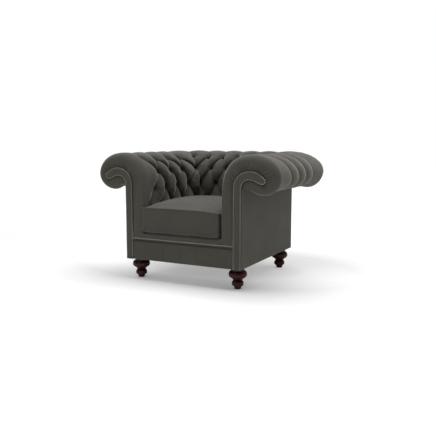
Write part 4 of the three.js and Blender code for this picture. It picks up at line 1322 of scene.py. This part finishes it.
def blow_up(piece, pinned):
    """Runs cloth with air pressure and no gravity from the mesh as it stands, with the seam points
    pinned, and returns its points, none moved further than the cap."""
    start = mesh_points(piece.data)
    group = piece.vertex_groups.new(name="seams")
    group.add(pinned.tolist(), 1.0, "REPLACE")
    cover = piece.modifiers.new("cover", "CLOTH")
    for name, value in cushion_cloth.items():
        setattr(cover.settings, name, value)
    cover.settings.effector_weights.gravity = 0
    cover.point_cache.frame_start = 1
    cover.point_cache.frame_end = cushion_frames
    for step in range(1, cushion_frames + 1):
        scene.frame_set(step)
    moved = mesh_points(piece.evaluated_get(bpy.context.evaluated_depsgraph_get()).data) - start
    piece.modifiers.remove(cover)
    piece.vertex_groups.remove(group)
    scene.frame_set(1)
    length = np.linalg.norm(moved, axis=1, keepdims=True)
    return start + moved * np.minimum(1, cushion_cap / np.maximum(length, 1e-9))


def settled(points):
    """Leans the cover's front to the left, each shift fading with the distance from the front: its
    left corner bulges over the arm's rounded edge, its right side stands clear of the other arm."""
    x, y, z = points.T
    from_front = y - cushion_low.y
    share = x / cushion_half.x
    lifted = smoothstep(z - cushion_low.z, *flare_rise)
    bulge = (1 - smoothstep(from_front, *flare_reach)) * lifted
    lean = cushion_flare * np.clip(-share, 0, 1) ** cushion_side_power * bulge
    clear = 1 - smoothstep(from_front, *clear_reach)
    lean = lean + cushion_side_clear * np.clip(share, 0, 1) ** cushion_side_power * clear
    nose = cushion_nose * (1 - smoothstep(from_front, *nose_reach))
    return spread(x - lean, y - nose, z)


def welt_mesh(name, path):
    """A closed tube: a circle carried along a closed path, square to it."""
    ahead = np.roll(path, -1, 0) - np.roll(path, 1, 0)
    up = np.array([0, 0, 1.0])
    right = np.cross(ahead / np.linalg.norm(ahead, axis=1, keepdims=True), up)
    right /= np.linalg.norm(right, axis=1, keepdims=True)
    spin = np.linspace(0, 2 * np.pi, welt_sides, endpoint=False)[:, None]
    points = path[:, None] + welt_radius * (np.cos(spin) * right[:, None] + np.sin(spin) * up)
    faces = np.array(grid_faces(len(path) + 1, welt_sides, wrapped=True))
    faces %= len(path) * welt_sides
    weave = spread(lengths_along(points[:, 0])[:, None], welt_radius * spin.T)
    return make_piece(name, points, faces.tolist(), weave)


cushion, pinned, seams = cushion_mesh("cushion_cover")
cover_low = np.array([-cushion_half.x, *cushion_low[1:]]) + cushion_room[0]
cover_high = np.array([cushion_half.x, *cushion_high[1:]]) + cushion_room[1]
cover_points = np.clip(blow_up(cushion, pinned), cover_low, cover_high)
cover_points = settled(cover_points)
cushion.data.vertices.foreach_set("co", cover_points.ravel())
cushion.data.update()
smooth = cushion.modifiers.new("smooth", "SUBSURF")
smooth.levels = smooth.render_levels = 1
dress(cushion, cloth, "cushion", "cloth", "seat_cushion")
for word, seam in zip(("top", "bottom"), seams):
    dress(welt_mesh("cushion_welt_" + word, settled(seam)), cloth, "cushion", "cloth")


# The zip of the cushion's cover: a woven tape along the middle of its rear border, with two rows of
# cast teeth that lock together, a slider at its end and the slider's pull.
zip_low, zip_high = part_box("cushion_zip")
zip_height = (zip_low.z + zip_high.z) / 2
zip_search_depth, zip_search_height = 0.01, 0.6 * cushion_step
tape_reach = 0.009
tape_gap, tape_face = 0.0003, 0.0011
tape_steps = 90
tooth_pitch = 0.0016
tooth_size = (0.0011, 0.0042, 0.0014)
tooth_stagger = 0.0009
tooth_margin = 0.004
slider_margin = 0.008
slider_parts = {
    "slider": ((0.009, 0.0075, 0.0028), 0, 0), "pull": ((0.005, 0.022, 0.0009), 0.012, 0.003),
}
rearward = (0, 1, 0)


def rear_of_cover(x):
    """How far back the cover reaches at each x on the zip's height, from the nearest points."""
    near = cover_points[:, 1] > cushion_high.y - zip_search_depth
    near &= np.abs(cover_points[:, 2] - zip_height) < zip_search_height
    rear = cover_points[near]
    rear = rear[np.argsort(rear[:, 0])]
    return np.interp(x, rear[:, 0], rear[:, 1])


def block(width, height, depth):
    """A closed box that stands on its middle, with its depth along +Z: points and faces."""
    ends = np.array([[-1, -1], [1, -1], [1, 1], [-1, 1]]) * [width / 2, height / 2]
    points = np.concatenate([np.c_[ends, np.zeros(4)], np.c_[ends, np.full(4, depth)]])
    return points, closed_faces(2, 4)


def zip_tape(name):
    """A flat strip carried along X over the cover's rear, a rectangle at every step."""
    x = np.linspace(zip_low.x, zip_high.x, tape_steps)[:, None]
    y = rear_of_cover(x) + [tape_gap, tape_gap, tape_face, tape_face]
    z = zip_height + tape_reach * np.array([-1, 1, 1, -1])
    return make_piece(name, spread(x, y, z), closed_faces(tape_steps, 4), spread(x, z - y))


dress(zip_tape("zip_tape"), black_cambric, "cushion", "lining")
tooth_x = np.arange(zip_low.x + tooth_margin, zip_high.x - tooth_margin, tooth_pitch)
stagger = tooth_stagger * (-1.0) ** np.arange(tooth_x.size)
tooth_places = spread(tooth_x, rear_of_cover(tooth_x) + tape_face, zip_height + stagger)
teeth = repeated("zip_teeth", block(*tooth_size), tooth_places, rearward)
dress(teeth, bright_wire, "cushion", "steel", "cushion_zip")
slider_x = zip_high.x - slider_margin
for word, (size, drop, lift) in slider_parts.items():
    place = [(slider_x, rear_of_cover(slider_x) + tape_face + lift, zip_height - drop)]
    dress(repeated("zip_" + word, block(*size), place, rearward), bright_wire, "cushion", "steel")


# The feet: turned from mahogany, stained dark red-brown and lacquered to a gloss. The profile is
# (radius, height) from the toe up, and each curve is drawn towards a corner.
foot_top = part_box("foot_front_right")[1].z
foot_toe = [(0, 0), (0.015, 0), (0.0205, 0.004), (0.0205, 0.013), (0.022, 0.017)]
foot_ring_widest, foot_ring_corners = (0.034, 0.0325), ((0.034, 0.017), (0.034, 0.048))
foot_neck, foot_cup = (0.0235, 0.048), (0.036, 0.065)
foot_bulb, foot_shoulder = (0.053, 0.086), (0.038, 0.108)
bulb_fullness = 0.75
curve_pull, curve_steps, cone_steps = 0.67, 12, 6
foot_sides = 56
mahogany_tones = linear(24, 4, 4), linear(58, 10, 9)
mahogany_grain, mahogany_stretch = (2.2, 7.0, 1.1), (60, 60, 9)
mahogany_relief = (0.00015, 0.5)


def foot_outline():
    """The turned profile: a straight toe and cone, with a ring and a bulb as quarter curves."""
    widest, middle = foot_bulb
    below, above = (
        (widest, mix(middle, end[1], bulb_fullness)) for end in (foot_cup, foot_shoulder)
    )

    def curve(*marks):
        """A quarter curve from the first mark to the last, drawn towards the middle one."""
        start, corner, end = (np.array(mark) for mark in marks)
        pulled = mix(start, corner, curve_pull), mix(end, corner, curve_pull)
        return bezier(start, *pulled, end, curve_steps)[1:]

    return np.concatenate([
        foot_toe, curve(foot_toe[-1], foot_ring_corners[0], foot_ring_widest),
        curve(foot_ring_widest, foot_ring_corners[1], foot_neck),
        np.linspace(foot_neck, foot_cup, cone_steps)[1:],
        curve(foot_cup, below, foot_bulb), curve(foot_bulb, above, foot_shoulder),
        [[foot_shoulder[0], foot_top], [0, foot_top]],
    ])


def turned_foot(name, centre):
    """The profile turned round its upright axis, with a pole at each end."""
    profile = foot_outline()
    spin = np.linspace(0, 2 * np.pi, foot_sides, endpoint=False)
    radius, height = profile[1:-1, :1], profile[1:-1, 1:]
    rings = spread(centre.x + radius * np.cos(spin), centre.y + radius * np.sin(spin), height)
    poles = [[centre.x, centre.y, end] for end in profile[[0, -1], 1]]
    low = rings.shape[0] * foot_sides
    last = low - foot_sides
    faces = grid_faces(rings.shape[0], foot_sides, wrapped=True)
    faces += [[(i + 1) % foot_sides, i, low] for i in range(foot_sides)]
    faces += [[last + i, last + (i + 1) % foot_sides, low + 1] for i in range(foot_sides)]
    return make_piece(name, np.concatenate([rings.reshape(-1, 3), poles]), faces)


mahogany = grained(
    "lacquered mahogany", mahogany_tones, mahogany_grain, mahogany_relief, mahogany_stretch,
    Roughness=0.35, Specular_IOR_Level=0.04, Coat_Weight=0.5, Coat_Roughness=0.1,
)
for word in ("front_left", "front_right", "rear_left", "rear_right"):
    low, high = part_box("foot_" + word)
    foot = turned_foot("turned_foot_" + word, (low + high) / 2)
    dress(foot, mahogany, "chair", "mahogany", "foot_" + word)
